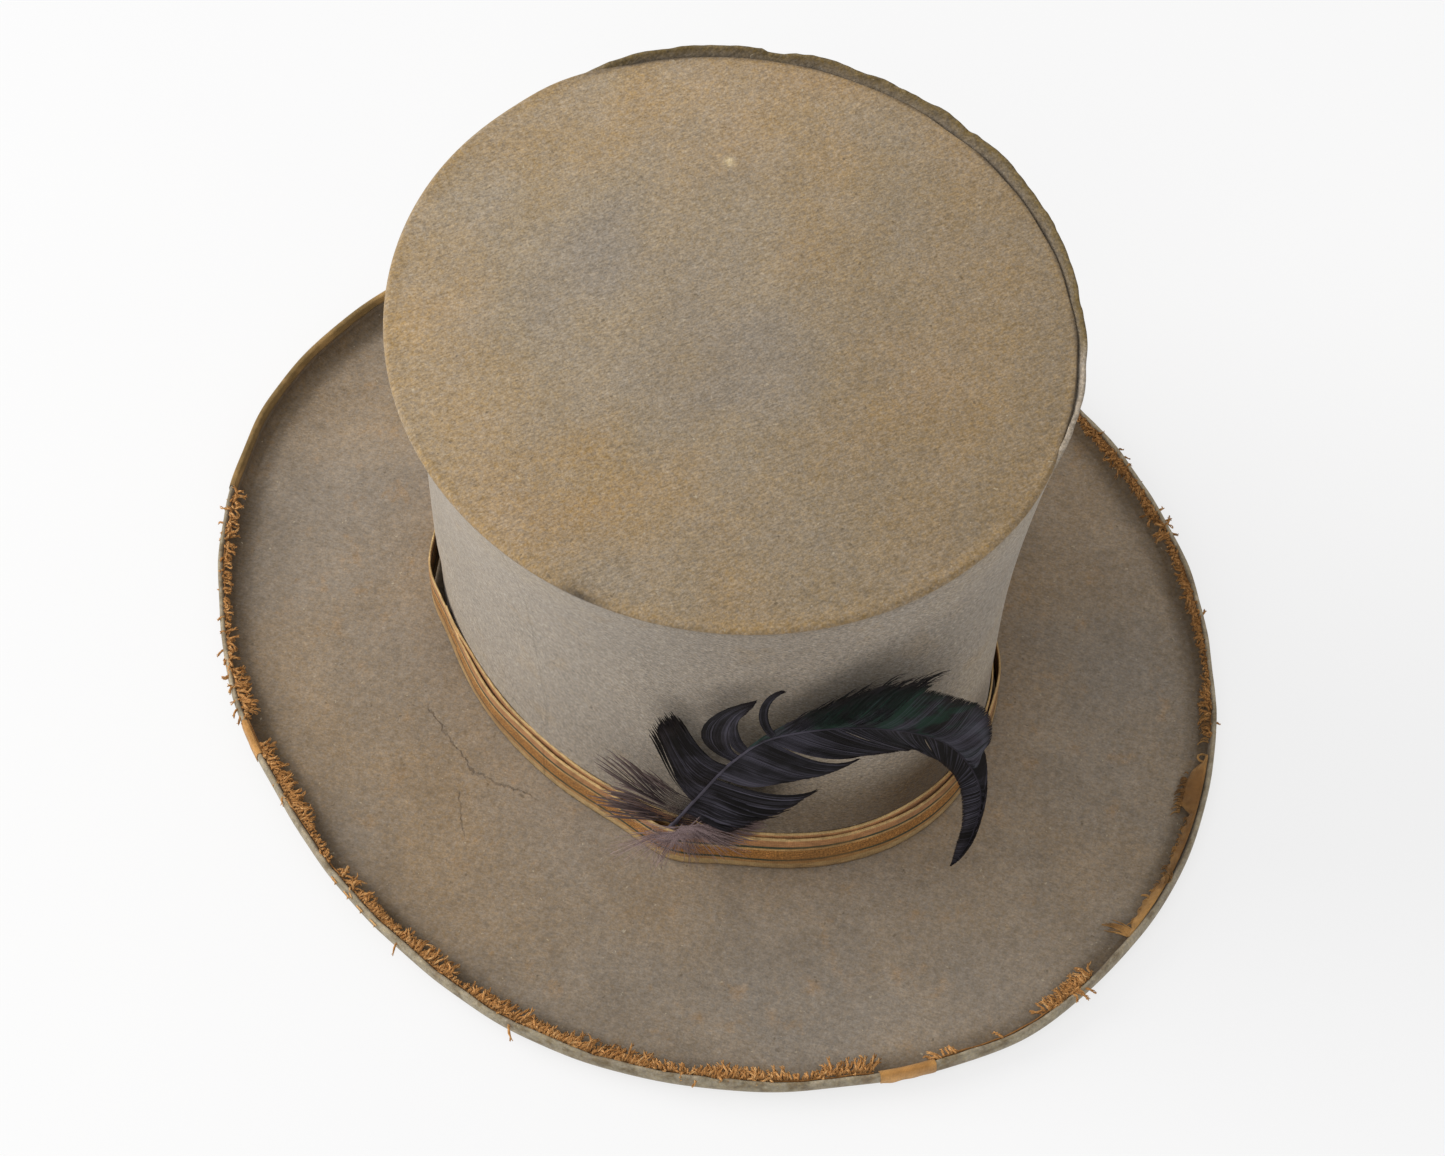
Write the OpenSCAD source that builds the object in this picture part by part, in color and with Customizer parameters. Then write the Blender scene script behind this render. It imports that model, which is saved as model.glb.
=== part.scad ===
// Felt top hat with a bell crown, a curled brim edge, a ribbon band and a feather.
// +Z is up, the front of the hat faces -Y and the wearer's left is +X.
// The origin is on the floor, at the centre of the brim.

/* [Crown] */
// Width of the crown where it meets the brim
base_w = 158; // [150:1:166]
// Length of the crown where it meets the brim
base_l = 206; // [198:1:214]
// Width of the flat top
tip_w = 206; // [196:1:212]
// Length of the flat top
tip_l = 217; // [208:1:224]
// Height of the top above the floor
hat_h = 181; // [170:1:190]
// How late the bell flare starts, higher is later
flare = 3.1; // [2.4:0.1:3.6]
// How far the top leans to the wearer's right
lean_x = 6.5; // [0:0.5:8]
// How far the top leans back
lean_y = 1.4; // [0:0.1:3]

/* [Torn tip seam] */
// Angle where the open part of the tip seam starts
tear_from = 105; // [95:5:120]
// Angle where the open part of the tip seam ends
tear_to = 250; // [220:5:255]
// How far the loose side edge stands above the tip
tear_raise = 3.5; // [2:0.5:5]

/* [Felt and lining] */
// Thickness of the crown felt
felt_t = 2; // [1.6:0.1:2.2]
// Thickness of the stiff shell under the felt
shell_t = 0.9; // [0.7:0.1:1]
// Thickness of the lining cloth
lining_t = 0.5; // [0.4:0.1:0.5]
// Thickness of the sweatband leather
leather_t = 1; // [0.8:0.1:1.2]
// Height of the sweatband
sweatband_h = 44; // [38:1:50]

/* [Brim] */
// Overall width of the brim
brim_w = 310; // [300:1:320]
// Overall length of the brim
brim_l = 360.8; // [350:0.1:370]
// Thickness of the brim felt
brim_t = 2.2; // [1.8:0.1:2.4]
// Height of the crown seat above the floor
seat_h = 7.4; // [6:0.1:9]
// Height of the curled edge at the front and back
lip_h = 9.5; // [8:0.5:11]
// Extra height of the curled edge at the sides
side_lift = 2; // [0:0.5:3]

/* [Edge binding] */
// Thickness of the binding ribbon
binding_t = 0.5; // [0.4:0.1:0.6]
// How far the binding reaches down each face of the edge
binding_h = 6.5; // [5:0.5:7]

/* [Ribbon band] */
// Height of the outer turn of the band
band_h = 20.5; // [18:0.5:21]
// Thickness of the ribbon
band_t = 0.7; // [0.5:0.1:0.8]
// How far the quill pocket stands out
pocket_bulge = 4; // [3.8:0.1:5]

/* [Feather] */
// Radius of the quill at the band
quill_r = 1.1; // [0.8:0.1:1.2]
// Thickness of the vanes
vane_t = 0.6; // [0.5:0.1:0.8]

/* [Hidden] */

step = 5;               // angle between the points of a full ring
gap = 0.15;             // clearance between sewn layers
crown_x = -2.8;         // centre of the crown on the brim
crown_y = -1.4;
shell_in = felt_t + gap;
lining_in = shell_in + shell_t + gap;
collar_in = lining_in;  // the brim's upright collar sits against the shell
collar_t = 1.2;
collar_h = 5;
sweatband_in = collar_in + collar_t + gap;
reed_r = 0.9;
tip_low = hat_h - felt_t;
shell_top = tip_low - gap - shell_t;
lining_top = shell_top - gap - lining_t;
brim_y = binding_t / 2; // keeps the bound front edge and the bare back edge centred
felt_w = brim_w;
felt_l = brim_l - binding_t;
curl_r = 4;             // radius of the bend under the curled edge
worn_out = 0.3;         // how far the edge's top is worn back on its outer face
worn_in = 0.6;          // and on its inner face
worn_drop = 0.6;        // height of the edge's rounded top
ring_angles = [for (a = [0 : step : 359]) a];

// Radius of an oval at an angle
function oval(w, l, a) = 1 / sqrt(pow(2 * cos(a) / w, 2) + pow(2 * sin(a) / l, 2));
function mix(low, high, s) = low + (high - low) * s;
function clamp01(s) = min(1, max(0, s));
function ease(s) = clamp01(s) * clamp01(s) * (3 - 2 * clamp01(s));
// Smooth bump of height 1 about an angle
function bump(a, mid, width) = exp(-pow((((a - mid + 540) % 360) - 180) / width, 2));

// Share of the bell flare reached at a height
function flare_at(z) = pow(clamp01((z - seat_h) / (hat_h - seat_h)), flare);
// Point on the crown wall, moved in from its outer face
function wall_point(a, z, inset) =
    let (s = flare_at(z), r = oval(mix(base_w, tip_w, s) - 2 * inset, mix(base_l, tip_l, s) - 2 * inset, a))
    [crown_x - lean_x * s + r * cos(a), crown_y + lean_y * s + r * sin(a), z];
function wall_ring(z, inset) = [for (a = ring_angles) wall_point(a, z, inset)];

// Solid ring closed through its section: rings run round the section, all with the same points
module closed_ring(rings) {
    n = len(rings[0]);
    m = len(rings);
    polyhedron(
        points = [for (ring = rings) each ring],
        faces = [for (i = [0 : m - 1]) for (j = [0 : n - 1])
            let (p = i * n + j, q = i * n + (j + 1) % n, r = ((i + 1) % m) * n + j, s = ((i + 1) % m) * n + (j + 1) % n)
            each [[p, r, q], [q, r, s]]]
    );
}

// Solid lofted through sections and capped at both ends
module loft(sections) {
    n = len(sections[0]);
    m = len(sections);
    polyhedron(
        points = [for (section = sections) each section],
        faces = concat(
            [[for (j = [n - 1 : -1 : 0]) j]],
            [for (i = [0 : m - 2]) for (j = [0 : n - 1])
                let (p = i * n + j, q = i * n + (j + 1) % n, r = p + n, s = q + n)
                each [[p, q, r], [q, s, r]]],
            [[for (j = [0 : n - 1]) (m - 1) * n + j]]
        )
    );
}

// ---- Crown ----

// How open the tip seam is at an angle: the tip pulls in first, then the side edge rises
function open_between(a, margin) =
    ease((a - tear_from - margin) / 15) * ease((tear_to - margin - a) / 15);
tip_gap = 1;            // open gap between the tip and the loose side edge
rim_step = 0.05;        // height of the side edge above its last full ring where the seam holds
function tip_pull(a) = ceil(open_between(a, 0)) * (felt_t + tip_gap);
function side_top(a) = tip_low - gap + open_between(a, step) * (tear_raise + felt_t + gap);
function side_edge_ring(inset) = [for (a = ring_angles) wall_point(a, side_top(a), inset)];

// Heights shared by every layer of the crown wall, so that the layers stay parallel
wall_levels = [40, 70, 95, 118, 138, 155, 169];
function levels_between(low, high) = concat([low], [for (z = wall_levels) if (z > low && z < high) z], [high]);
function backward(list) = [for (i = [len(list) - 1 : -1 : 0]) list[i]];

module crown_side_felt() {
    levels = levels_between(seat_h + gap, tip_low - gap - rim_step);
    color([0.60, 0.56, 0.50])
    closed_ring(concat(
        [for (z = levels) wall_ring(z, 0)],
        [side_edge_ring(0), side_edge_ring(felt_t)],
        [for (z = backward(levels)) wall_ring(z, felt_t)]
    ));
}

// Ring of the tip, kept clear of the loose side edge where the seam is open
function tip_ring(z, inset) = [for (a = ring_angles)
    let (p = wall_point(a, hat_h, inset + tip_pull(a))) [p.x, p.y, z]];

module crown_tip_felt() {
    color([0.60, 0.52, 0.42])
    loft([
        tip_ring(tip_low, 0),
        tip_ring(hat_h - 0.7, 0),
        tip_ring(hat_h, 0.9)
    ]);
}

// Flat oval plate that fits inside the crown wall
module inner_plate(z, inset, thickness) {
    points = [for (p = wall_ring(z, inset)) [p.x, p.y]];
    translate([0, 0, z]) linear_extrude(thickness) polygon(points);
}

// Thin wall that lines the crown between two heights
module inner_wall(low, high, inset, thickness) {
    levels = levels_between(low, high);
    closed_ring(concat(
        [for (z = levels) wall_ring(z, inset)],
        [for (z = backward(levels)) wall_ring(z, inset + thickness)]
    ));
}

module crown_side_shell() {
    color([0.72, 0.62, 0.45]) inner_wall(seat_h + gap, shell_top - gap, shell_in, shell_t);
}

module crown_tip_shell() {
    color([0.72, 0.62, 0.45]) inner_plate(shell_top, shell_in, shell_t);
}

module lining_side() {
    color([0.80, 0.76, 0.68]) inner_wall(seat_h + collar_h + gap, lining_top - gap, lining_in, lining_t);
}

module lining_tip() {
    color([0.80, 0.76, 0.68]) inner_plate(lining_top, lining_in, lining_t);
}

// ---- Sweatband ----

module sweatband() {
    low = seat_h - brim_t + 2 * reed_r + gap;
    outer = [for (p = wall_ring(low, sweatband_in)) [p.x, p.y]];
    inner = [for (p = wall_ring(low, sweatband_in + leather_t)) [p.x, p.y]];
    color([0.36, 0.24, 0.15])
    translate([0, 0, low])
    linear_extrude(sweatband_h)
    difference() {
        polygon(outer);
        polygon(inner);
    }
}

module sweatband_reed() {
    z = seat_h - brim_t + reed_r;
    color([0.42, 0.29, 0.18])
    closed_ring([for (t = [0 : 60 : 300])
        wall_ring(z + reed_r * sin(t), sweatband_in + reed_r - reed_r * cos(t))]);
}

// ---- Brim ----

// Side lift at an angle: none at the front and back thirds, so the hat rests there
function lift_at(a) = side_lift * ease((abs(cos(a)) - 0.5) / 0.5);
function lip_top(a) = lip_h + lift_at(a);
// Radius of the brim's outer face about its own centre
function edge_radius(a) = oval(felt_w, felt_l, a);
// Point on the curled edge, moved in from its outer face
function edge_point(a, z, inset) =
    let (r = edge_radius(a) - inset) [r * cos(a), r * sin(a) + brim_y, z];
// Underside height, s runs from the crown to the start of the curl
function under_z(a, s) = mix(seat_h - brim_t, lift_at(a), ease(s / 0.8));
function brim_point(a, s, z) =
    let (from = wall_point(a, seat_h, 0), to = edge_point(a, 0, curl_r + brim_t))
    [mix(from.x, to.x, s), mix(from.y, to.y, s), z];
function brim_ring(s, rise) = [for (a = ring_angles) brim_point(a, s, under_z(a, s) + rise)];
function lip_ring(t, r) = [for (a = ring_angles)
    edge_point(a, lift_at(a) + curl_r + brim_t - r * cos(t), curl_r + brim_t - r * sin(t))];
function top_ring(inset, drop) = [for (a = ring_angles) edge_point(a, lip_top(a) - drop, inset)];

edge_mid = (worn_out + brim_t - worn_in) / 2;

module brim_felt() {
    shares = [0.2, 0.4, 0.6, 0.8];
    outer_r = curl_r + brim_t;
    color([0.55, 0.49, 0.42])
    closed_ring(concat(
        [wall_ring(seat_h + collar_h, collar_in + collar_t), wall_ring(seat_h - brim_t, collar_in + collar_t)],
        [brim_ring(0, 0)],
        [for (s = shares) brim_ring(s, 0)],
        [brim_ring(1, 0)],
        [for (t = [30 : 30 : 90]) lip_ring(t, outer_r)],
        [top_ring(worn_out, worn_drop), top_ring(edge_mid, 0), top_ring(brim_t - worn_in, worn_drop)],
        [for (t = [90 : -30 : 30]) lip_ring(t, curl_r)],
        [brim_ring(1, brim_t)],
        [for (s = backward(shares)) brim_ring(s, brim_t)],
        [brim_ring(0, brim_t)],
        [wall_ring(seat_h, collar_in), wall_ring(seat_h + collar_h, collar_in)]
    ));
}

// ---- Edge binding ----

outer_clear = 0.1;      // clearance of the ribbon from the felt's outer face
inner_clear = 0.35;     // clearance from its inner face, which its flats bring inward
inner_leg = 3.2;        // straight height of the edge's inner face that the ribbon covers

// Section of ribbon folded over the curled edge
function folded_section(a) =
    let (top = lip_top(a), out = -outer_clear, in = brim_t + inner_clear, t = binding_t) [
        edge_point(a, top - binding_h, out - t),
        edge_point(a, top + outer_clear + t, out - t),
        edge_point(a, top + outer_clear + t, in + t),
        edge_point(a, top - inner_leg, in + t),
        edge_point(a, top - inner_leg, in),
        edge_point(a, top + outer_clear, in),
        edge_point(a, top + outer_clear, out),
        edge_point(a, top - binding_h, out)
    ];

module folded_binding(from, to) {
    loft([for (a = [from : 3 : to]) folded_section(a)]);
}

// Flat strip along the edge: inset is its outer face, drop runs down from the top of the edge
module edge_strip(from, to, inset, thickness, drop, height) {
    count = max(1, round((to - from) / 3));
    loft([for (i = [0 : count])
        let (a = mix(from, to, i / count), high = lip_top(a) - drop, low = high - height) [
            edge_point(a, low, inset),
            edge_point(a, high, inset),
            edge_point(a, high, inset + thickness),
            edge_point(a, low, inset + thickness)
        ]]);
}

module binding_front() {
    color([0.58, 0.44, 0.22]) folded_binding(205, 295);
}

frayed_in = brim_t + inner_clear;
frayed_t = 1;

module binding_frayed_left() {
    color([0.60, 0.40, 0.19]) edge_strip(-62, 61, frayed_in, frayed_t, 0, inner_leg);
}

module binding_frayed_back() {
    color([0.60, 0.40, 0.19]) edge_strip(66, 87, frayed_in, frayed_t, -0.5, inner_leg + 0.5);
}

module binding_frayed_right() {
    color([0.60, 0.40, 0.19]) edge_strip(122, 203, frayed_in, frayed_t, 0, inner_leg);
}

loose_in = 2.9;         // the loose end hangs from this far inside the edge
loose_drop = 0.4;       // and this far below its top
loose_t = 0.8;
loose_slope = 49;       // its slope down to the brim
// Width of the loose end: narrow, then a wide flap
function loose_width(a) = mix(3, 7, ease((a - 107) / 5));

// Length of ribbon that has come away from the edge and hangs inward over the curl
module binding_loose_end() {
    color([0.62, 0.44, 0.20])
    loft([for (a = [92 : 3 : 119])
        let (
            z = lip_top(a) - loose_drop, w = loose_width(a),
            run = w * cos(loose_slope), fall = w * sin(loose_slope)
        ) [
            edge_point(a, z - loose_t, loose_in),
            edge_point(a, z, loose_in),
            edge_point(a, z - fall, loose_in + run),
            edge_point(a, z - fall - loose_t, loose_in + run)
        ]]);
}

module binding_patch_left() {
    color([0.64, 0.45, 0.20]) edge_strip(-34, -28, -binding_t - 0.1, binding_t, 0.4, 5);
}

module binding_patch_back() {
    color([0.64, 0.45, 0.20]) edge_strip(62, 68, -binding_t - 0.1, binding_t, 0.4, 5);
}

// Short thread stitches left standing on the outer face of the edge
module edge_stitches() {
    color([0.66, 0.47, 0.24])
    for (a = [-9, -6.5, -4, -1.5]) edge_strip(a, a + 0.4, -0.7, 0.6, 1.5, 3.5);
}

// ---- Ribbon band ----

quill_angle = 34;       // where the quill is tucked into the band
inner_turn_from = -43;  // free end of the inner turn
inner_turn_to = 285;
band_low = seat_h + 0.6;
inner_turn_rise = 2;    // the inner turn shows above the outer one
inner_turn_in = -gap;   // both turns lie outside the crown wall
outer_turn_in = inner_turn_in - band_t - gap;

// How far the outer turn stands off at the quill pocket and at the two loose places
function band_slack(a) =
    pocket_bulge * bump(a, quill_angle, 9) + 2.6 * bump(a, -53, 7) + 1.8 * bump(a, 117, 7);

function band_outline(inset) = [for (a = ring_angles)
    let (p = wall_point(a, seat_h, inset - band_slack(a))) [p.x, p.y]];

module band_outer_turn() {
    color([0.66, 0.48, 0.25])
    translate([0, 0, band_low])
    linear_extrude(band_h)
    difference() {
        polygon(band_outline(outer_turn_in - band_t));
        polygon(band_outline(outer_turn_in));
    }
}

module band_inner_turn() {
    angles = [for (a = [inner_turn_from : step - 1 : inner_turn_to]) a];
    outer = [for (a = angles) let (p = wall_point(a, seat_h, inner_turn_in - band_t)) [p.x, p.y]];
    inner = [for (i = [len(angles) - 1 : -1 : 0])
        let (p = wall_point(angles[i], seat_h, inner_turn_in)) [p.x, p.y]];
    color([0.78, 0.68, 0.48])
    translate([0, 0, band_low + inner_turn_rise])
    linear_extrude(band_h)
    polygon(concat(outer, inner));
}

// ---- Feather ----

// The feather's own axes: along runs backward beside the crown, out points away from it
feather_yaw = 45;
// Where the quill passes the top of the band
quill_at = [69.6, 49.3, 30];
quill_lean = [12.1, 41.3, 6.3];
quill_dir = quill_lean / norm(quill_lean);
quill_tuck = 20;

// Middle line as [along, up, out] from quill_at
feather_line = [
    -quill_tuck * quill_dir,
    [0, 0, 0],
    quill_dir * 25,
    [19, 62, 10],
    [32, 86, 15],
    [58, 94, 17],
    [84, 68, 9],
    [97, 32, 6],
    [96, 4, 9],
    [89, -9, 14]
];
spans = len(feather_line) - 1;
line_step = 0.25;       // spacing of sections along the feather, in knots

function line_knot(i) = feather_line[min(spans, max(0, i))];
// Point on the middle line, u counts knots
function line_at(u) =
    let (
        i = min(spans - 1, floor(u)), t = u - i,
        p = line_knot(i - 1), q = line_knot(i), r = line_knot(i + 1), s = line_knot(i + 2)
    )
    0.5 * (2 * q + (r - p) * t + (2 * p - 5 * q + 4 * r - s) * t * t + (3 * q - p - 3 * r + s) * t * t * t);
function line_dir(u) =
    let (d = line_at(min(spans, u + 0.02)) - line_at(max(0, u - 0.02))) d / norm(d);
// Direction across the feather, to the outside of its arch
function line_side(u) = let (c = cross([0, 0, 1], line_dir(u))) c / norm(c);
function line_face(u) = cross(line_dir(u), line_side(u));

// Puts the feather's own axes into the hat
module in_feather_place() {
    translate(quill_at) rotate([90, 0, feather_yaw + 90]) children();
}

function quill_radius(u) = quill_r * (u < 2 ? 1 : mix(1, 0.25, (u - 2) / (spans - 2)));

module feather_quill() {
    color([0.16, 0.15, 0.18])
    in_feather_place()
    loft([for (u = [0 : line_step : spans])
        [for (t = [0 : 45 : 315])
            line_at(u) + quill_radius(u) * (cos(t) * line_side(u) + sin(t) * line_face(u))]]);
}

// Reach of a vane at share s of its length, from its reach at evenly spread places
function reach_at(widths, s) =
    let (n = len(widths) - 1, i = min(n - 1, floor(s * n))) mix(widths[i], widths[i + 1], s * n - i);

// Flat vane from one side of the quill, between two knots of the middle line
module vane(from, to, widths, side) {
    count = round((to - from) / line_step);
    in_feather_place()
    loft([for (i = [0 : count])
        let (
            u = mix(from, to, i / count),
            near = line_at(u) + side * (quill_radius(u) + gap) * line_side(u),
            far = near + side * reach_at(widths, i / count) * line_side(u),
            half = line_face(u) * vane_t / 2
        )
        side > 0 ? [near - half, near + half, far + half, far - half]
                 : [near + half, near - half, far - half, far + half]]);
}

module feather_vane_upper() {
    color([0.13, 0.16, 0.17]) vane(4.25, 9, [2, 13, 19, 22, 20, 14, 9, 7, 4, 1], 1);
}

module feather_vane_lower() {
    color([0.13, 0.13, 0.17]) vane(2.75, 9, [14, 22, 22, 18, 13, 8, 9, 11, 10, 6, 1], -1);
}

// Tufts of loose barbs on the front side of the quill
module feather_side_barbs() {
    color([0.10, 0.10, 0.12]) {
        vane(2.5, 3, [15, 19, 16], 1);
        vane(3.25, 3.5, [13, 15], 1);
        vane(3.75, 4, [13, 10], 1);
    }
}

// Soft down round the quill, just above the band
module feather_down() {
    color([0.30, 0.26, 0.27]) {
        vane(1.25, 2.25, [8, 16, 20, 17], 1);
        vane(1.5, 2.5, [3, 4, 5, 6], -1);
    }
}

brim_felt();
crown_side_felt();
crown_tip_felt();
crown_side_shell();
crown_tip_shell();
lining_side();
lining_tip();
sweatband();
sweatband_reed();
binding_front();
binding_frayed_left();
binding_frayed_back();
binding_loose_end();
binding_frayed_right();
binding_patch_left();
binding_patch_back();
edge_stitches();
band_outer_turn();
band_inner_turn();
feather_quill();
feather_vane_upper();
feather_vane_lower();
feather_side_barbs();
feather_down();
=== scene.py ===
import math
import bpy
import numpy as np
from mathutils import Matrix, Vector


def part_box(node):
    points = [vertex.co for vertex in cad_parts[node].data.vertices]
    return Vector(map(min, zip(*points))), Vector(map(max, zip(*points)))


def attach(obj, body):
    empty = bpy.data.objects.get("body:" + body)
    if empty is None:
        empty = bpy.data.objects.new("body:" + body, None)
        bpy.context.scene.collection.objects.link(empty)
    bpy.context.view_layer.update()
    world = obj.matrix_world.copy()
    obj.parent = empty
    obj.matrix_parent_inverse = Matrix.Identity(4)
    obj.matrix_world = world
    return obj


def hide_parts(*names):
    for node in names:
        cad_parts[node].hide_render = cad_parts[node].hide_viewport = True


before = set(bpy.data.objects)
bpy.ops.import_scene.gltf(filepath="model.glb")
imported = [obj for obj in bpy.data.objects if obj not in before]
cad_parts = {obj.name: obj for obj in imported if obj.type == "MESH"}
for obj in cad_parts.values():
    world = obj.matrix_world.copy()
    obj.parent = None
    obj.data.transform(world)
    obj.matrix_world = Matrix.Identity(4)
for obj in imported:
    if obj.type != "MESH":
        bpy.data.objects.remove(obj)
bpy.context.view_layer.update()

MM = 0.001
TURN = 2 * math.pi
FULL = 720              # points round a full ring of felt
BAND_RING = 540         # points round a full turn of the band
LEATHER_RING = 480      # points round the sweatband and its reed
LINING_RING = 600       # points round the lining
WALL_ROUND = 0.092      # metres to a radian round the crown wall
BAND_ROUND = 0.093      # metres to a radian round the band
EDGE_ROUND = 0.168      # metres to a radian round the brim's edge
ACROSS = 0.02           # metres across a ribbon, for the scale of its weave
UP = np.array([0.0, 0.0, 1.0])


# ---- Sizes, some from the CAD boxes ----

def corners(node):
    """Low and high corner of a CAD node's box."""
    low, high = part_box(node)
    return np.array(low), np.array(high)


side_low = corners("crown_side_felt")[0]
tip_low, tip_high = corners("crown_tip_felt")
inner_low, inner_high = corners("band_inner_turn")
outer_low, outer_high = corners("band_outer_turn")
brim_low, brim_high = corners("brim_felt")
leather_low, leather_high = corners("sweatband")
reed_low, reed_high = corners("sweatband_reed")
lining_low, lining_high = corners("lining_side")
lining_top = corners("lining_tip")[0][2]

FELT = 2 * MM           # thickness of the crown felt
YARN = 0.29 * MM        # half size of a ply of a frayed yarn
LOOSE_YARN = 0.26 * MM  # the same for the threads of the loose end
BRIM = 2.2 * MM         # thickness of the brim felt
TURN_OUT = 0.85 * MM    # the inner turn's outer face stands this far off the wall
SEAT = side_low[2] - 0.15 * MM
TOP = tip_high[2]
FLARE = 3.1             # how late the crown widens on its way up
BASE_HALF = (inner_high - inner_low)[:2] / 2 - TURN_OUT
BASE_MID = (inner_high + inner_low)[:2] / 2
TIP_HALF = np.array([tip_high[0] - side_low[0], tip_high[1] - tip_low[1]]) / 2
TIP_MID = np.array([tip_high[0] + side_low[0], tip_high[1] + tip_low[1]]) / 2
EDGE_HALF = (brim_high - brim_low)[:2] / 2
EDGE_MID = (brim_high + brim_low)[:2] / 2
SIDE_LIFT = 2 * MM      # the brim's left and right sides are this much higher
LIP = brim_high[2] - SIDE_LIFT
CURL = 4 * MM           # bend under the curled edge
COLLAR_IN = 3.2 * MM    # the collar's inner face, in from the wall's outer face
COLLAR = 5 * MM         # height of the collar above the seat
LEATHER_IN = 4.55 * MM  # the sweatband's outer face, in from the wall's outer face
LEATHER = 0.95 * MM     # thickness of the sweatband
TEAR_FROM = 105         # the torn seam starts and ends at these angles, in degrees
TEAR_TO = 250


# ---- Small maths ----

def ease(s):
    s = np.clip(s, 0, 1)
    return s * s * (3 - 2 * s)


def mix(low, high, s):
    return low + (high - low) * s


def unit(v):
    return v / np.maximum(np.linalg.norm(v, axis=-1, keepdims=True), 1e-12)


def oval(half, angle):
    """Radius of an oval at an angle."""
    return 1 / np.sqrt((np.cos(angle) / half[0]) ** 2 + (np.sin(angle) / half[1]) ** 2)


def bump(angle, middle, width):
    """Smooth bump of height 1 about an angle in degrees."""
    off = (np.degrees(angle) - middle + 540) % 360 - 180
    return np.exp(-(off / width) ** 2)


def bumps(angle, *terms):
    """Sum of bumps, each given as its height, middle and width."""
    return sum(height * bump(angle, middle, width) for height, middle, width in terms)


def ring_angles(count=FULL):
    return np.arange(count) * TURN / count


def ripple(seed, angle, height=0.0, low=2, high=9, terms=14):
    """Smooth random relief, about -1 to 1, that closes round the hat. height is in metres."""
    rng = np.random.default_rng(seed)
    total = 0
    for _ in range(terms):
        waves = rng.integers(low, high + 1)
        slope = rng.uniform(-1, 1) * high * 10
        total = total + np.sin(waves * angle + slope * height + rng.uniform(0, TURN))
    return total / math.sqrt(terms)


def ripples(angle, *terms, height=0.0):
    """Sum of ripples, each given as its size, seed, and lowest and highest number of waves."""
    return sum(size * ripple(seed, angle, height, low, high) for size, seed, low, high in terms)


def flat_ripple(seed, x, y, size, terms=16):
    """Smooth random relief, about -1 to 1, on a flat surface, with waves about size metres long."""
    rng = np.random.default_rng(seed)
    total = 0
    for _ in range(terms):
        turn = rng.uniform(0, TURN)
        length = size * rng.uniform(0.6, 1.7)
        way = x * math.cos(turn) + y * math.sin(turn)
        total = total + np.sin(way * TURN / length + rng.uniform(0, TURN))
    return total / math.sqrt(terms)


def open_at(angle, margin=0.0):
    """How open the tip seam is at an angle, 0 to 1."""
    a = np.degrees(angle) % 360
    return ease((a - TEAR_FROM - margin) / 15) * ease((TEAR_TO - margin - a) / 15)


def flare_at(z):
    """How far the crown has widened at a height, 0 to 1."""
    return np.clip((z - SEAT) / (TOP - SEAT), 0, 1) ** FLARE


def wall_point(angle, z, inset):
    """Point on the crown wall, moved in from its outer face. Values may be arrays."""
    angle, z, inset = np.broadcast_arrays(angle, z, inset)
    s = flare_at(z)
    half = [mix(BASE_HALF[i], TIP_HALF[i], s) - inset for i in (0, 1)]
    r = oval(half, angle)
    x = mix(BASE_MID[0], TIP_MID[0], s) + r * np.cos(angle)
    y = mix(BASE_MID[1], TIP_MID[1], s) + r * np.sin(angle)
    return np.stack([x, y, z], -1)


def beside_wall(angle, wall_z, inset, z):
    """Points that follow the wall as it is at one height, put at heights of their own."""
    p = wall_point(angle, wall_z, inset)
    p[..., 2] = z
    return p


def out_from(angle):
    """Level direction away from the hat's middle at an angle."""
    return np.stack([np.cos(angle), np.sin(angle), 0 * angle], -1)


def round_by(angle):
    """Level direction round the hat at an angle."""
    return np.stack([-np.sin(angle), np.cos(angle), 0 * angle], -1)


def lift_at(angle):
    """How far the brim rises toward its left and right sides."""
    return SIDE_LIFT * ease((np.abs(np.cos(angle)) - 0.5) / 0.5)


def edge_swell(angle):
    """How far the worn brim's outline stands outside its oval."""
    return MM * bumps(angle, (3.2, 24, 19), (2.6, -81, 13), (1.9, 143, 28), (1.3, 78, 6),
                      (-1.5, -22, 10), (-1.3, 58, 6))


def edge_point(angle, z, inset):
    """Point on the brim's curled edge, moved in from its outer face."""
    angle, z, inset = np.broadcast_arrays(angle, z, inset)
    r = oval(EDGE_HALF, angle) + edge_swell(angle) - inset
    return np.stack([EDGE_MID[0] + r * np.cos(angle), EDGE_MID[1] + r * np.sin(angle), z], -1)


def brim_point(angle, share, rise):
    """Point between the crown (share 0) and the start of the curl (share 1), above the underside."""
    start = wall_point(angle, SEAT, 0.0)
    end = edge_point(angle, 0.0, CURL + BRIM)
    p = mix(start, end, share)
    z = mix(SEAT - BRIM, lift_at(angle), ease(share / 0.8)) + rise
    return np.stack([p[..., 0], p[..., 1], z], -1)


# ---- Meshes ----

def grid_faces(rows, columns, close_rows=False):
    """Quads of a grid of points stored row by row, its last column joined to its first."""
    i = np.arange(rows if close_rows else rows - 1)
    i, j = np.meshgrid(i, np.arange(columns), indexing="ij")
    below = (i + 1) % rows
    right = (j + 1) % columns
    quads = [i * columns + j, i * columns + right, below * columns + right, below * columns + j]
    return np.stack(quads, -1).reshape(-1, 4)


def end_faces(sections, points):
    """The first and the last section of a loft, as faces."""
    j = np.arange(points)
    return np.stack([j, (sections - 1) * points + j[::-1]])


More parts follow.
